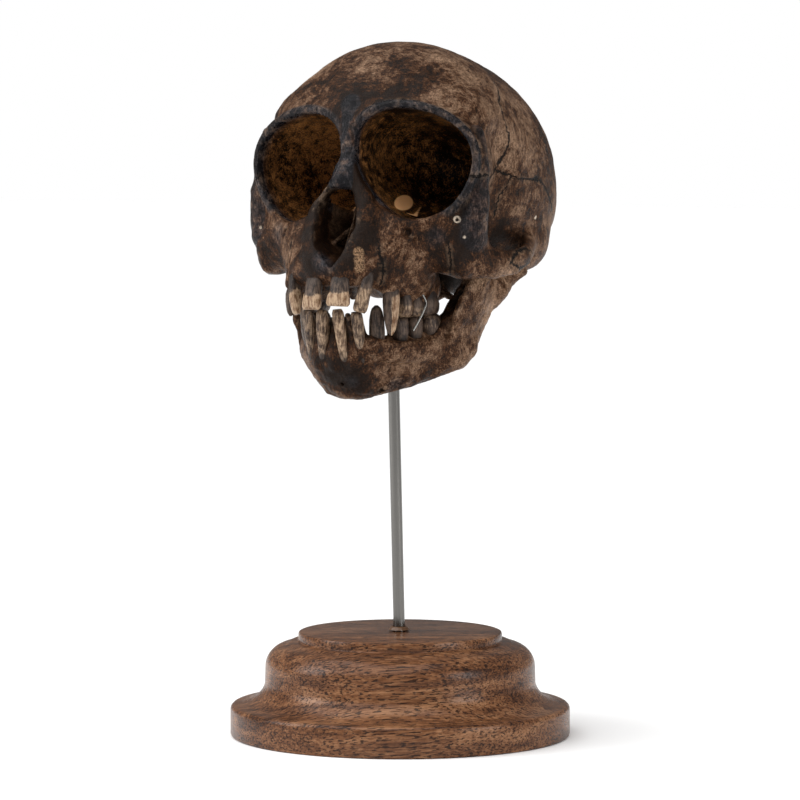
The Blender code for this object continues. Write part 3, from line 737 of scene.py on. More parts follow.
# %% Marks of the lower jaw
def mandible_marks(verts):
    """Darkened chin and gaps between the teeth, the front edge of the rising half in black wax and painted
    shade, and the paler rising half.
    """
    rims = spots(verts, ((3.5, -27, 80.5, 3.5, 0.5), (10, -19, 80, 4, 0.5), (-9, -22, 80, 4, 0.4)))
    front = ((15.6, -12.4, 90.6, 0.4), (16.8, -10.6, 93.4, 0.5), (17.9, -8.4, 96.2, 0.6),
             (19.4, -5.0, 99.6, 0.6))
    # The front edge is painted dark: black wax, and painted shade from the cheek arch and upper jaw above
    # it.
    dark = 1.7 * beside(verts, front, 1.1)
    dark = np.maximum(dark, spots(verts, ((0, -27, 92.5, 5.5, 2.5), (5, -26.4, 91.5, 3.5, 2.5),
                                          (-6, -25.2, 91.5, 4, 2.5),
                                          (4.2, -27.4, 82, 5.5, 1.7), (0, -28, 84, 5, 1.2))))
    pale_and_painted_shade = spots(verts, ((12, -18, 84, 4, 0.5), (22, 2, 95, 7, 2.0), (18.5, -5.5, 88.5, 5, 2.0),
                         (-8, -25, 80, 4, 0.6)))
    pale_and_painted_shade = pale_and_painted_shade - dark
    none = np.zeros(len(verts))
    far = none + 3.0
    return {"lining": none, "rims": rims, "pale_and_painted_shade": pale_and_painted_shade, "brow": none, "spongy": none,
            "tan_shape": far, "pale_shape": far}


# %% [markdown]
# ## Cracks and seams
# A skull's plates meet in wavy seams, and this one has split along some of them. A seam is far
# thinner than the mesh's quads, so it isn't cut into them. Each vertex keeps its distance to the
# nearest seam, negative on one side and positive on the other, and the material draws a dark
# hairline where that number passes zero. The ridge above the temple is real height.

# %% Seams
SEAMS = (
    ((26.6, -18.6, 125.5), (27.7, -17.6, 125.2), (28.7, -16.7, 124.8), (29.4, -14.7, 125.5),
     (27.6, -8.0, 124.7), (25.8, -5.5, 124.6), (24.6, -1.6, 125.6)),
    ((-25.8, -18.6, 125.0), (-27.2, -16.8, 124.4), (-28.0, -14.0, 124.8)),
    ((20.5, 6.8, 147.0), (21.9, 5.2, 143.9), (24.3, 1.3, 141.0), (25.6, 0.7, 137.2), (25.7, 2.7, 132.2),
     (24.8, 1.8, 128.9), (24.0, -0.4, 126.7)),
    ((24.3, -1.8, 126.5), (24.2, 1.9, 125.9), (25.4, 4.4, 125.0), (26.6, 8.1, 124.1), (26.8, 13.5, 124.4),
     (26.6, 16.6, 123.7), (26.3, 19.6, 121.9), (25.0, 25.0, 117.0)),
    ((25.3, 4.4, 124.5), (24.5, 3.3, 122.1), (23.7, 2.0, 120.6), (23.0, 1.0, 117.0)),
    ((10.4, -27.4, 110.4), (10.9, -27.6, 108.4), (11.5, -27.8, 106.7), (11.9, -27.8, 104.1),
     (11.2, -27.8, 102.2)),
    ((23.1, -19.0, 109.9), (23.3, -18.6, 107.9), (23.3, -18.4, 106.0), (21.7, -16.0, 103.7)),
    ((30.8, -5.1, 106.4), (30.6, -2.6, 108.3), (30.1, 2.1, 109.2), (30.2, 5.6, 108.3), (29.9, 5.3, 106.1),
     (31.0, -1.4, 104.8), (30.8, -5.1, 106.4)),
    ((-12.0, -26.0, 110.5), (-12.4, -26.2, 107.0), (-11.8, -27.0, 103.0)),
    ((-23.8, 2.0, 141.0), (-25.2, 1.0, 136.0), (-25.0, 2.0, 130.0), (-24.4, 0.0, 126.0),
     (-26.0, 8.0, 124.6), (-26.6, 16.0, 123.6)),
)
TEMPLE_RIDGE = ((24.9, -5.6, 128.0), (27.0, -9.6, 131.4), (27.0, -12.4, 135.4), (25.0, -11.4, 138.5),
                (24.1, -9.7, 141.3), (23.1, -7.0, 143.1), (20.5, 0.0, 146.5), (17.5, 9.0, 148.8))


def line_distance(verts, normals, points):
    """Nearest distance to a line of points, and the same with a sign for the side of the line."""
    nearest = np.full(len(verts), 1e3)
    signed = np.full(len(verts), 1e3)
    for start, end in zip(points[:-1], points[1:]):
        a = np.array(start)
        d = np.array(end) - a
        t = np.clip(((verts - a) @ d) / (d @ d), 0, 1)
        away = verts - a - t[:, None] * d
        gap = np.linalg.norm(away, axis=1)
        side = np.sign((np.cross(d, normals) * away).sum(1))
        closer = gap < nearest
        nearest = np.where(closer, gap, nearest)
        signed = np.where(closer, gap * side, signed)
    return nearest, signed


def seam_values(verts, normals, lines):
    """Signed and plain distance to the nearest of several seams, cut off at 6 mm."""
    near, across = np.full(len(verts), 1e3), np.full(len(verts), 1e3)
    for points in lines:
        gap, signed = line_distance(verts, normals, points)
        closer = gap < near
        near = np.where(closer, gap, near)
        across = np.where(closer, signed, across)
    return {"near_seam": np.minimum(near, 6), "across_seam": np.clip(across, -6, 6)}


def raise_ridge(obj, verts, normals, points, height, width):
    """Push the skin out along a line, on both sides of the head."""
    mirrored_line = [(-x, y, z) for x, y, z in points]
    gap = np.minimum(line_distance(verts, normals, points)[0],
                     line_distance(verts, normals, mirrored_line)[0])
    moved = verts + normals * (height * np.exp(-(gap / width) ** 2))[:, None]
    obj.data.vertices.foreach_set("co", (moved * MM).ravel())
    obj.data.update()


# %% The bone material
def hairline(maker, place):
    """1 in a seam and 0 beside it, with a wavering course and width."""
    waver = maker.times(maker.math("SUBTRACT", maker.noise(place, 1.1, 4.0, 0.75), 0.5), 2.4)
    course = maker.math("ABSOLUTE", maker.math("ADD", maker.value("across_seam"), waver))
    width = maker.ramp(maker.noise(place, 0.35, 2.0), 0.38, 0.62, 0.26, 0.52)
    core = maker.times(width, 0.45)
    line = maker.add("ShaderNodeMapRange", {"Value": course, "From Min": core, "From Max": width,
                                            "To Min": 1.0, "To Max": 0.0}).outputs["Result"]
    return maker.times(line, maker.ramp(maker.value("near_seam"), 1.2, 1.7, 1.0, 0.0))


def bone_noises(maker, place):
    """Clouds, patches, streaks along the bone's growth, and grit, from large to fine."""
    drift = maker.add("ShaderNodeTexNoise", {"Vector": place, "Scale": 0.11,
                                             "Detail": 1.0}).outputs["Color"]
    bent = maker.add("ShaderNodeVectorMath", {0: drift, 1: (4.0, 4.0, 4.0), 2: place},
                     operation="MULTIPLY_ADD").outputs[0]
    clouds = maker.noise(bent, 0.13, 5.0, 0.62)
    patches = maker.noise(bent, 0.55, 5.0, 0.64)
    sideways = maker.noise(maker.stretch(bent, (0.70, 1.2, 3.2)), 1.0, 4.0, 0.66)
    upright = maker.noise(maker.stretch(bent, (2.8, 1.8, 0.75)), 1.0, 4.0, 0.66)
    streaks = maker.add("ShaderNodeMix", {0: maker.value("brow"), 2: upright, 3: sideways},
                        data_type="FLOAT").outputs[0]
    grit = maker.noise(place, 3.2, 3.0, 0.7)
    return clouds, patches, streaks, grit


def bone_material():
    """Brown bone, black wax on the rims, rust-brown socket linings, dots, and the hairline cracks."""
    mat, maker, shader = new_material("waxed bone")
    place = millimetres(maker)
    clouds, patches, streaks, grit = bone_noises(maker, place)
    level = maker.weigh(((clouds, 0.90), (patches, 0.72), (streaks, 0.36), (grit, 0.26)))
    # The pale value lifts worn places and lowers darker bone and painted shade.
    level = maker.weigh(((maker.value("pale_and_painted_shade"), 0.13), (maker.value("rims"), -0.05)),
                        maker.math("ADD", level, 0.062))
    lit = maker.mix(maker.ramp(level, 0.36, 0.54), (0.0105, 0.0050, 0.0027, 1), (0.052, 0.0205, 0.0080, 1))
    lit = maker.mix(maker.ramp(level, 0.50, 0.95), lit, (0.31, 0.196, 0.124, 1))
    worn = maker.times(maker.ramp(maker.value("edge"), 0.42, 0.80), maker.ramp(patches, 0.44, 0.62))
    lit = maker.mix(maker.times(worn, 0.5), lit, (0.27, 0.185, 0.125, 1))
    wax = maker.mix(maker.ramp(maker.weigh(((streaks, 0.5), (patches, 0.7), (clouds, 0.4))), 0.45, 0.72),
                    (0.0075, 0.0074, 0.0090, 1), (0.062, 0.060, 0.066, 1))
    black = maker.times(maker.ramp(maker.value("rims"), 0.34, 0.56),
                        maker.ramp(patches, 0.66, 0.48, 0.5, 1.0))
    lit = maker.mix(maker.times(black, 0.95), lit, wax)
    lining_level = maker.weigh(((clouds, 0.6), (patches, 1.1), (streaks, 0.5), (grit, 0.9),
                                (maker.value("pale_and_painted_shade"), 0.16)), 0.58)
    lining_colour = maker.mix(maker.ramp(lining_level, 0.44, 0.74), (0.0035, 0.0016, 0.0008, 1),
                              (0.26, 0.112, 0.033, 1))
    lit = maker.mix(maker.times(maker.value("lining"), 0.95), lit, lining_colour)
    # Painted shade: places that are closed in are darkened, as if little light reached them.
    deep = maker.ramp(maker.value("hollow"), 0.35, 0.85)
    lit = maker.mix(maker.times(deep, 0.6), lit, (0.006, 0.003, 0.0016, 1))
    holes = maker.ramp(maker.noise(maker.stretch(place, (1.3, 1.3, 0.9)), 3.4, 2.0, 0.5), 0.36, 0.58)
    sponge = maker.mix(holes, (0.030, 0.015, 0.008, 1), (0.26, 0.155, 0.085, 1))
    lit = maker.mix(maker.ramp(maker.value("spongy"), 0.35, 0.6), lit, sponge)
    speck = maker.weigh(((grit, 2.9), (streaks, 1.5)), 0.95)
    speck = maker.add("ShaderNodeClamp", {"Value": speck, "Min": 0.35, "Max": 1.8}).outputs[0]
    lit = maker.add("ShaderNodeVectorMath", {0: lit, 3: speck}, operation="SCALE").outputs[0]
    lit = maker.mix(maker.ramp(maker.value("pale_shape"), -0.12, 0.12, 0.9, 0.0), lit,
                    (0.55, 0.46, 0.36, 1))
    lit = maker.mix(maker.ramp(maker.value("tan_shape"), -0.12, 0.12, 1.0, 0.0), lit, (0.98, 0.52, 0.23, 1))

    crack = hairline(maker, place)
    pale_edge = maker.times(maker.ramp(maker.value("near_seam"), 0.6, 1.1, 0.22, 0.0),
                            maker.ramp(patches, 0.42, 0.55))
    lit = maker.mix(pale_edge, lit, (0.20, 0.135, 0.09, 1))
    lit = maker.mix(maker.times(crack, 0.97), lit, (0.003, 0.002, 0.0015, 1))
    height = maker.weigh(((streaks, 0.4), (grit, 0.30), (patches, 0.7), (crack, -1.2)))
    maker.give(shader, {"Base Color": lit})
    rough = maker.math("SUBTRACT", maker.ramp(patches, 0.35, 0.65, 0.36, 0.54), maker.times(black, 0.20))
    maker.give(shader, {"Roughness": rough, "Normal": maker.bump(height, 0.45 * MM, 0.85),
                        "Specular IOR Level": 0.09})
    return mat


BONE = bone_material()

# %% [markdown]
# ## The two bones
# The two sides of a skull are nearly the same, so only the left half of the field is worked out
# and then mirrored. What differs from side to side is carved after that. The field is evened
# first, because a squeezed ball or bar no longer counts in true millimetres.

# %% Building a bone
def even_slope(field, axes):
    """Squeezed forms make the field too flat or too steep; divide so that it again counts millimetres."""
    slopes = np.gradient(field, *axes)
    steepness = np.sqrt(sum(slope ** 2 for slope in slopes))
    return field / np.clip(steepness, 0.15, 4.0)


def build_bone(name, mirrored, carved, axes, marks, mats):
    """Work out half the field, mirror it, carve what differs from side to side, and mesh it."""
    half = np.broadcast_to(mirrored(np.meshgrid(*axes, indexing="ij", sparse=True)), [len(a) for a in axes])
    half = even_slope(half, axes)
    field = np.concatenate([half[:0:-1], half], 0)
    full_axes = [np.concatenate([-axes[0][:0:-1], axes[0]]), axes[1], axes[2]]
    field = carved(field, np.meshgrid(*full_axes, indexing="ij", sparse=True))
    verts, quads = surface_nets(field, full_axes)
    obj = make_mesh(name, verts, quads, mats)
    normals = mesh_normals(obj.data)
    hollow, edge = hollow_and_edge(field, full_axes, verts, normals)
    write_values(obj, hollow=hollow, edge=edge, **marks(verts), **seam_values(verts, normals, SEAMS))
    print(name, "quads:", len(quads), "from", verts.min(0).round(1), "to", verts.max(0).round(1))
    return obj, verts


def even_axis(start, end, step):
    """Evenly spaced grid lines, with both ends among them."""
    return np.arange(start, end + step / 2, step)


# %% Cranium and mandible
FACE_STEP = 0.49
BACK_STEP = 0.9
JAW_STEP = 0.34
front_y = even_axis(-37.0, -4.0, FACE_STEP)
back_y = even_axis(front_y[-1] + BACK_STEP, 50.0, BACK_STEP)
cranium_axes = [even_axis(0.0, 36.0, FACE_STEP), np.concatenate([front_y, back_y]),
                even_axis(92.0, 158.0, FACE_STEP)]
cranium, cranium_verts = build_bone("cranium_bone", mirrored_cranium, carved_cranium, cranium_axes,
                                    cranium_marks, [BONE])
raise_ridge(cranium, cranium_verts, mesh_normals(cranium.data), TEMPLE_RIDGE, 0.35, 1.1)
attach(cranium, "root")
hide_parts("cranium")

mandible_axes = [even_axis(0.0, 30.0, JAW_STEP), even_axis(-36.0, 18.0, JAW_STEP),
                 even_axis(72.0, 112.0, JAW_STEP)]
mandible = build_bone("mandible_bone", mirrored_mandible, carved_mandible, mandible_axes,
                      mandible_marks, [BONE])[0]
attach(mandible, "root")
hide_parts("mandible")

# %% [markdown]
# ## Teeth
# Each tooth is one loft: rings of points from the root's end over the neck to the crown's edge.
# The front teeth are blades, the canines are fangs, and the cheek teeth are blocks with cusps.
# Two numbers are kept on every vertex: how much it is crown, and how far the bone hides it, which
# sets a painted shade towards the socket. So one material stains and shades them all.

# %% Tooth shapes
# Neck, tip, half width along the jaw, half depth, root and shape of the left side's teeth
UPPER_TEETH = (
    ("incisor_1", (3.4, -31.6, 102.6), (3.5, -33.0, 97.2), 2.75, 1.4, 3.4, "blade"),
    ("incisor_2", (9.0, -29.4, 103.0), (7.5, -30.7, 95.9), 1.6, 1.4, 1.6, "peg"),
    ("canine", (12.2, -25.0, 100.2), (12.7, -26.0, 90.8), 1.85, 1.8, 3.4, "fang"),
    ("premolar_1", (13.0, -20.6, 98.8), (12.9, -20.6, 94.6), 1.6, 1.9, 3.0, "block"),
    ("premolar_2", (13.4, -17.1, 98.4), (13.3, -17.1, 94.6), 1.8, 2.1, 3.0, "block"),
    ("molar", (13.9, -12.2, 98.4), (13.8, -12.2, 94.7), 3.0, 2.4, 3.0, "block"),
)
LOWER_TEETH = (
    ("incisor_1", (2.5, -28.4, 86.0), (1.9, -30.7, 96.2), 1.45, 1.4, 1.4, "peg"),
    ("incisor_2", (6.1, -27.0, 85.9), (6.0, -29.5, 95.9), 1.35, 1.4, 1.4, "peg"),
    ("canine", (8.3, -24.3, 88.6), (9.0, -25.9, 97.2), 1.75, 1.7, 1.6, "thumb"),
    ("premolar_1", (11.5, -19.9, 89.8), (11.5, -20.0, 94.7), 1.8, 1.9, 3.0, "block"),
    ("premolar_2", (12.8, -16.3, 90.2), (12.7, -16.3, 94.75), 1.9, 2.1, 3.0, "block"),
    ("molar", (14.3, -11.4, 90.6), (14.2, -11.4, 94.9), 2.9, 2.4, 3.0, "block"),
)
# What differs from the mirrored row: shift out, back and up, tip's lift and share of the width
TOOTH_SHIFTS = {
    "upper_right_incisor_1": (-0.3, 0.0, 0.0, -0.9, 0.94),
    "upper_right_incisor_2": (0.9, 0.4, -0.8, 0.0, 0.78), "upper_right_canine": (0.4, 0.6, 0.0, 3.6, 0.80),
    "lower_left_incisor_1": (0.1, 0.0, 0.0, 0.2, 0.94),
}
# Where the pale crown starts, from neck 0 to tip 1, and how pale it is
TOOTH_LOOKS = {
    "upper_left_incisor_1": (0.46, 1.0), "upper_right_incisor_1": (0.50, 0.95),
    "upper_left_incisor_2": (0.22, 0.50), "upper_right_incisor_2": (0.30, 0.85),
    "upper_left_canine": (0.05, 1.5), "upper_right_canine": (0.4, 0.45),
    "upper_left_premolar_1": (0.30, 0.55), "upper_left_premolar_2": (0.40, 0.40),
    "upper_left_molar": (0.9, 0.1), "lower_left_incisor_1": (-0.1, 0.56),
    "lower_right_incisor_1": (0.0, 0.47), "lower_left_incisor_2": (0.1, 0.40),
    "lower_right_incisor_2": (0.0, 0.40), "lower_left_canine": (1.2, 0.0),
    "lower_right_canine": (0.3, 0.30), "lower_left_premolar_1": (0.8, 0.1),
    "lower_left_premolar_2": (0.7, 0.15), "lower_left_molar": (0.3, 0.25),
}
# Width and depth shares: where along the tooth (0 neck, 1 tip), across the jaw, out of the jaw
TOOTH_PROFILES = {
    "blade": ((0.0, 0.76, 0.86), (0.25, 0.78, 0.92), (0.46, 0.77, 0.90), (0.56, 0.90, 0.98),
              (0.85, 1.0, 0.66), (0.96, 0.98, 0.40), (1.0, 0.86, 0.18)),
    "fang": ((0.0, 0.96, 0.90), (0.2, 1.0, 1.0), (0.5, 0.90, 0.86), (0.8, 0.64, 0.56), (0.94, 0.40, 0.34),
             (1.0, 0.14, 0.12)),
    "thumb": ((0.0, 0.94, 0.90), (0.3, 1.0, 1.0), (0.65, 0.94, 0.90), (0.88, 0.70, 0.66),
              (0.97, 0.46, 0.40), (1.0, 0.22, 0.18)),
    "peg": ((0.0, 0.78, 0.84), (0.3, 0.84, 0.98), (0.6, 0.94, 1.0), (0.8, 1.0, 0.82), (0.95, 0.94, 0.50),
            (1.0, 0.74, 0.24)),
    "block": ((0.0, 0.82, 0.86), (0.3, 0.98, 1.0), (0.7, 1.0, 0.96), (0.92, 0.86, 0.80), (1.0, 0.62, 0.56)),
}
# Width of the root's end, as a share of the tooth's
ROOT_END = 0.55
TOOTH_SIDES = 24
TOOTH_RINGS = 16
# 1 makes a tooth's section an ellipse, less makes it squarer
TOOTH_SQUARENESS = 0.8


# %% The loft of one tooth
def squarer(v):
    """One coordinate of a point on a circle, pushed out so that the section has soft corners."""
    return math.copysign(abs(v) ** TOOTH_SQUARENESS, v)


def tooth_mesh(node, neck, tip, half_width, half_depth, root, shape, side, mats):
    """Loft one tooth; side -1 makes it for the right of the jaw."""
    outer, behind, lift_all, lift_tip, width_share = TOOTH_SHIFTS.get(node, (0.0, 0.0, 0.0, 0.0, 1.0))
    shift = Vector((outer, behind, lift_all))
    neck, tip = Vector(neck) + shift, Vector(tip) + shift + Vector((0.0, 0.0, lift_tip))
    half_width = half_width * width_share
    length = (tip - neck).length
    along = (tip - neck).normalized()
    outward = Vector((neck[0], neck[1] + 12.0, 0.0))
    outward = (outward - along * outward.dot(along)).normalized()
    across = outward.cross(along)
    rows = TOOTH_PROFILES[shape]
    stages = [-root / length] + [row[0] for row in rows]
    crown_start, paleness = TOOTH_LOOKS.get(node, (0.4, 0.4))
    verts, crown, hidden = [], [], []
    for step in range(TOOTH_RINGS + 1):
        height = -root + (root + length) * step / TOOTH_RINGS
        t = height / length
        wide = float(np.interp(t, stages, [ROOT_END] + [row[1] for row in rows]))
        deep = float(np.interp(t, stages, [ROOT_END] + [row[2] for row in rows]))
        for corner in range(TOOTH_SIDES):
            angle = 2 * math.pi * corner / TOOTH_SIDES
            c, s = squarer(math.cos(angle)), squarer(math.sin(angle))
            lift = 0.28 * math.cos(2 * angle) * max(0.0, t - 0.5) if shape == "block" else 0.0
            point = neck + along * (height + lift) + across * half_width * wide * c
            point = point + outward * half_depth * deep * s
            verts.append((side * point.x, point.y, point.z))
            arched = t - crown_start - 0.12 * s * s + 0.05
            one_sided = min(1.0, max(0.0, 0.5 + 1.6 * c)) if shape == "fang" else 1.0
            crown.append(paleness * one_sided * min(1.0, max(0.0, arched / 0.10 + 0.5)))
            # Painted shade: strongest in the socket, fading out a little above the neck.
            hidden.append(min(1.0, max(0.0, 0.2 - t) / 0.3))
    faces = []
    for ring in range(TOOTH_RINGS):
        for corner in range(TOOTH_SIDES):
            following = (corner + 1) % TOOTH_SIDES
            a, b = ring * TOOTH_SIDES, (ring + 1) * TOOTH_SIDES
            faces.append((a + corner, a + following, b + following, b + corner))
    faces.append(tuple(range(TOOTH_SIDES))[::-1])
    faces.append(tuple(TOOTH_RINGS * TOOTH_SIDES + i for i in range(TOOTH_SIDES)))
    obj = make_mesh("tooth_" + node, verts, faces, mats)
    write_values(obj, crown=crown, hidden=hidden)
    face_outwards(obj.data)
    return obj


# %% Tooth material
def tooth_material():
    """Ivory crown over a brown root, both streaked lengthwise, and painted shade, near black, where the
    bone hides it.
    """
    mat, maker, shader = new_material("stained tooth")
    place = millimetres(maker)
    clouds = maker.noise(place, 0.55, 5.0, 0.65)
    lines = maker.noise(maker.stretch(place, (2.6, 2.6, 0.36)), 1.0, 4.0, 0.65)
    flecks = maker.noise(place, 2.6, 3.0, 0.7)
    stain = maker.weigh(((clouds, 0.9), (lines, 1.2), (flecks, 0.15)))
    crown = maker.mix(maker.ramp(stain, 0.32, 0.66), (0.445, 0.310, 0.198, 1), (0.112, 0.051, 0.021, 1))
    root = maker.mix(maker.ramp(stain, 0.36, 0.64), (0.092, 0.060, 0.042, 1), (0.018, 0.0105, 0.0075, 1))
    share = maker.weigh(((stain, -1.5), (maker.value("crown"), 2.0)), 0.5)
    share = maker.times(maker.ramp(share, 0.0, 1.0), maker.ramp(maker.value("crown"), 0.0, 0.10))
    colour = maker.mix(share, root, crown)
    # Painted shade: the tooth is darkened towards and into its socket.
    colour = maker.mix(maker.times(maker.value("hidden"), 0.85), colour, (0.012, 0.007, 0.005, 1))
    maker.give(shader, {"Base Color": colour, "Roughness": maker.ramp(share, 0.0, 1.0, 0.42, 0.28),
                        "Specular IOR Level": 0.25,
                        "Normal": maker.bump(maker.weigh(((lines, 1.0), (flecks, 0.6))), 0.22 * MM, 0.8)})
    return mat


# %% All the teeth
TOOTH = tooth_material()
teeth = []
for jaw, rows in (("upper", UPPER_TEETH), ("lower", LOWER_TEETH)):
    for kind, *sizes in rows:
        for side, side_name in ((1, "left"), (-1, "right")):
            node = f"{jaw}_{side_name}_{kind}"
            tooth = tooth_mesh(node, *sizes, side, [TOOTH])
            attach(tooth, "root")
            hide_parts(node)
            teeth.append(tooth)
print("teeth:", len(teeth))

# %% [markdown]
# ## The stand
# A lathe makes the base: one outline, turned round the axis. Geometry Nodes do the same here,
# by sweeping the outline along a small circle, so that the number of steps stays an input.

# %% Turned outline
def base_outline():
    """Radius and height along the base's section, from the middle of the top to the middle below."""
    points = [(0.0, 13.2), (1.9, 13.2), (1.9, 23.2), (22.3, 23.2), (22.65, 23.05), (22.8, 22.7),
              (22.8, 21.3), (23.1, 21.05), (24.6, 20.95)]
    for step in range(11):
        turn = math.radians(5 + 8.5 * step)
        points.append((25.2 + 5.0 * math.sin(turn), 15.4 + 5.0 * math.cos(turn)))
    for step in range(1, 10):
        turn = math.radians(9.6 * step)
        points.append((37.2 - 7.0 * math.cos(turn), 12.6 - 5.6 * math.sin(turn)))
    points += [(37.5, 6.85), (37.85, 6.5), (38.0, 6.0), (38.0, 0.6), (37.85, 0.2), (37.5, 0.0), (0.0, 0.0)]
    return points


# %% Geometry Nodes that turn an outline or thicken a line
def node_group(name, sizes):
    """A geometry tree with a mesh in, a mesh out and one number input for each size."""
    tree = bpy.data.node_groups.new(name, "GeometryNodeTree")
    tree.interface.new_socket("Mesh", in_out="INPUT", socket_type="NodeSocketGeometry")
    for label, kind, value in sizes:
        socket = tree.interface.new_socket(label, in_out="INPUT", socket_type=kind)
        if value is not None:
            socket.default_value = value
    tree.interface.new_socket("Mesh", in_out="OUTPUT", socket_type="NodeSocketGeometry")
    maker = Maker(tree)
    start = maker.add("NodeGroupInput")
    return tree, maker, start.outputs


def close_group(maker, geometry, mat_socket):
    """Every tree ends in plain geometry with its material."""
    plain = maker.add("GeometryNodeRealizeInstances", {"Geometry": geometry}).outputs[0]
    coloured = maker.add("GeometryNodeSetMaterial", {"Geometry": plain, "Material": mat_socket}).outputs[0]
    maker.add("NodeGroupOutput", {0: coloured})


def lathe_group():
    """Sweep an outline round a tiny circle, which turns it like a lathe does."""
    tree, maker, size = node_group("turn on the lathe",
                                   (("Steps", "NodeSocketInt", 96), ("Centre", "NodeSocketFloat", MM),
                                    ("Material", "NodeSocketMaterial", None)))
    outline = maker.add("GeometryNodeMeshToCurve", {0: size["Mesh"]}).outputs[0]
    circle = maker.add("GeometryNodeCurvePrimitiveCircle",
                       {"Resolution": size["Steps"], "Radius": size["Centre"]}).outputs[0]
    level = maker.add("GeometryNodeSetCurveNormal", {"Curve": circle})
    level.mode = "Z_UP"
    turned = maker.add("GeometryNodeCurveToMesh", {"Curve": level.outputs[0],
                                                   "Profile Curve": outline}).outputs[0]
    joined = maker.add("GeometryNodeMergeByDistance", {"Geometry": turned,
                                                       "Distance": 0.02 * MM}).outputs[0]
    close_group(maker, joined, size["Material"])
    return tree


def wire_group():
    """A round tube along a smooth line through the mesh's points."""
    tree, maker, size = node_group("thicken a line", (("Radius", "NodeSocketFloat", MM),
                                                      ("Pieces", "NodeSocketInt", 32),
                                                      ("Material", "NodeSocketMaterial", None)))
    line = maker.add("GeometryNodeMeshToCurve", {0: size["Mesh"]}).outputs[0]
    bent = maker.add("GeometryNodeCurveSplineType", {"Curve": line})
    bent.spline_type = "CATMULL_ROM"
    even = maker.add("GeometryNodeResampleCurve", {"Curve": bent.outputs[0],
                                                   "Count": size["Pieces"]}).outputs[0]
    ring = maker.add("GeometryNodeCurvePrimitiveCircle",
                     {"Resolution": 12, "Radius": size["Radius"]}).outputs[0]
    tube = maker.add("GeometryNodeCurveToMesh", {"Curve": even, "Profile Curve": ring,
                                                 "Fill Caps": True}).outputs[0]
    close_group(maker, tube, size["Material"])
    return tree


# %% Using a tree on a piece
def line_object(name, points):
    mesh = bpy.data.meshes.new(name)
    edges = [(i, i + 1) for i in range(len(points) - 1)]
    mesh.from_pydata([Vector(p) * MM for p in points], edges, [])
    obj = bpy.data.objects.new(name, mesh)
    scene.collection.objects.link(obj)
    return obj


def run_group(obj, tree, **sizes):
    """Give the object the tree, set its inputs and keep the result as a plain mesh facing out."""
    step = obj.modifiers.new(tree.name, "NODES")
    step.node_group = tree
    for item in tree.interface.items_tree:
        if item.in_out == "INPUT" and item.name in sizes:
            step[item.identifier] = sizes[item.name]
    bpy.context.view_layer.update()
    made = bpy.data.meshes.new_from_object(obj.evaluated_get(bpy.context.evaluated_depsgraph_get()))
    obj.modifiers.clear()
    obj.data = made
    face_outwards(made, 0.01 * MM)
    made.shade_smooth()
    made.set_sharp_from_angle(angle=math.radians(35))
    print(obj.name, "faces:", len(made.polygons), "size in mm:", [round(v / MM, 1) for v in obj.dimensions])
    return obj


# %% [markdown]
# ## Finishes of the stand
# The wood is open-pored and varnished: broad bands, finer fibres and short dark pores, each a noise
# stretched along the board. The rod is drawn steel, with faint lines along it, and old glue sits at
# its foot.

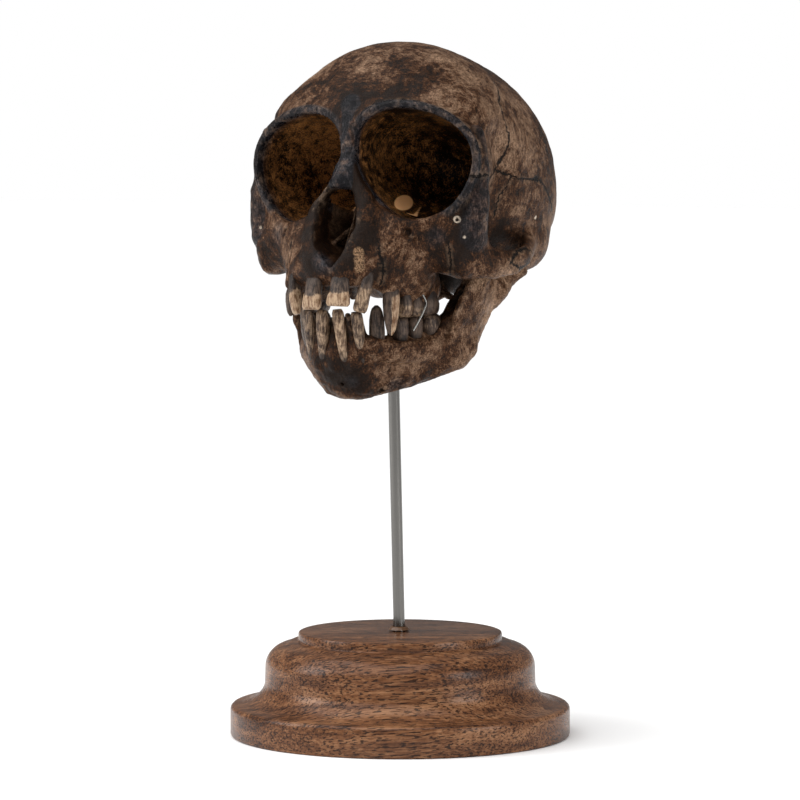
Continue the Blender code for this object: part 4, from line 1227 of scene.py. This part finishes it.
# %% Wood, steel and glue
def wood_material():
    """The fibres run from left to right of the picture: pores are dashes in front and dots at the ends."""
    mat, maker, shader = new_material("varnished walnut")
    place = maker.stretch(millimetres(maker), (1.0, 1.0, 1.0), (0.0, math.radians(4), -YAW))
    bands = maker.noise(maker.stretch(place, (0.016, 0.11, 0.34)), 1.0, 4.0, 0.55, 0.8)
    fibres = maker.noise(maker.stretch(place, (0.14, 1.9, 2.3)), 1.0, 4.0, 0.65)
    pores = maker.noise(maker.stretch(place, (0.42, 2.6, 3.1)), 1.0, 2.0, 0.5)
    sheen = maker.noise(maker.stretch(place, (0.9, 0.9, 0.5)), 1.0, 3.0, 0.6)
    tone = maker.weigh(((bands, 1.3), (fibres, 1.2), (sheen, 0.25)))
    colour = maker.mix(maker.ramp(tone, 0.20, 0.50), (0.034, 0.0125, 0.0060, 1), (0.142, 0.058, 0.025, 1))
    colour = maker.mix(maker.ramp(tone, 0.50, 0.85), colour, (0.29, 0.142, 0.068, 1))
    hole = maker.ramp(pores, 0.40, 0.44, 1.0, 0.0)
    colour = maker.mix(maker.times(hole, 0.85), colour, (0.012, 0.0055, 0.0035, 1))
    maker.give(shader, {"Base Color": colour, "Roughness": 0.27, "Specular IOR Level": 0.20})
    height = maker.math("SUBTRACT", maker.times(fibres, 0.3), hole)
    maker.give(shader, {"Normal": maker.bump(height, 0.14 * MM, 0.8)})
    return mat


def steel_material():
    """A dark metal mirror, blurred a little more or less along fine lines."""
    mat, maker, shader = new_material("drawn steel")
    place = millimetres(maker)
    lines = maker.noise(maker.stretch(place, (6.0, 6.0, 0.05)), 1.0, 3.0, 0.5)
    maker.give(shader, {"Base Color": (0.145, 0.14, 0.132, 1.0), "Metallic": 1.0,
                        "Roughness": maker.ramp(lines, 0.3, 0.7, 0.10, 0.20)})
    return mat


def glue_material():
    mat, maker, shader = new_material("old glue")
    maker.give(shader, {"Base Color": (0.10, 0.045, 0.018, 1.0), "Roughness": 0.35})
    return mat


WALNUT = wood_material()
STEEL = steel_material()
GLUE = glue_material()

# %% [markdown]
# ## The stand's pieces
# The base turns the outline, and the rod and the jaw's wire thicken a line. The bead of glue keeps
# its CAD mesh and only gets a material.

# %% Base
outline = base_outline()
base = line_object("turned_base", [(radius - 1.0, -height, 0.0) for radius, height in outline])
run_group(base, lathe_group(), Steps=96, Centre=MM, Material=WALNUT)
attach(base, "root")
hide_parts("base")

# %% Rod, glue and jaw wire
ROD_FOOT = Vector((0.0, 0.0, 13.5))
ROD_LEAN = Vector((-0.0194, -0.0112, 1.0)).normalized()
ROD_LENGTH = 97.5

rod = line_object("steel_rod", [ROD_FOOT, ROD_FOOT + ROD_LEAN * ROD_LENGTH])
tube = wire_group()
run_group(rod, tube, Radius=1.3 * MM, Pieces=2, Material=STEEL)
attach(rod, "root")
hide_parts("rod")

wire = line_object("tied_jaw_wire", [(15.8, -17.6, 99.4), (16.3, -17.0, 97.6), (16.0, -17.8, 95.6),
                                     (15.4, -19.2, 93.2), (15.0, -20.4, 91.6)])
run_group(wire, tube, Radius=0.25 * MM, Pieces=32, Material=STEEL)
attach(wire, "root")
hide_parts("jaw_wire")

glue = frame["nodes"]["glue_ring"]
glue.data.materials.clear()
glue.data.materials.append(GLUE)
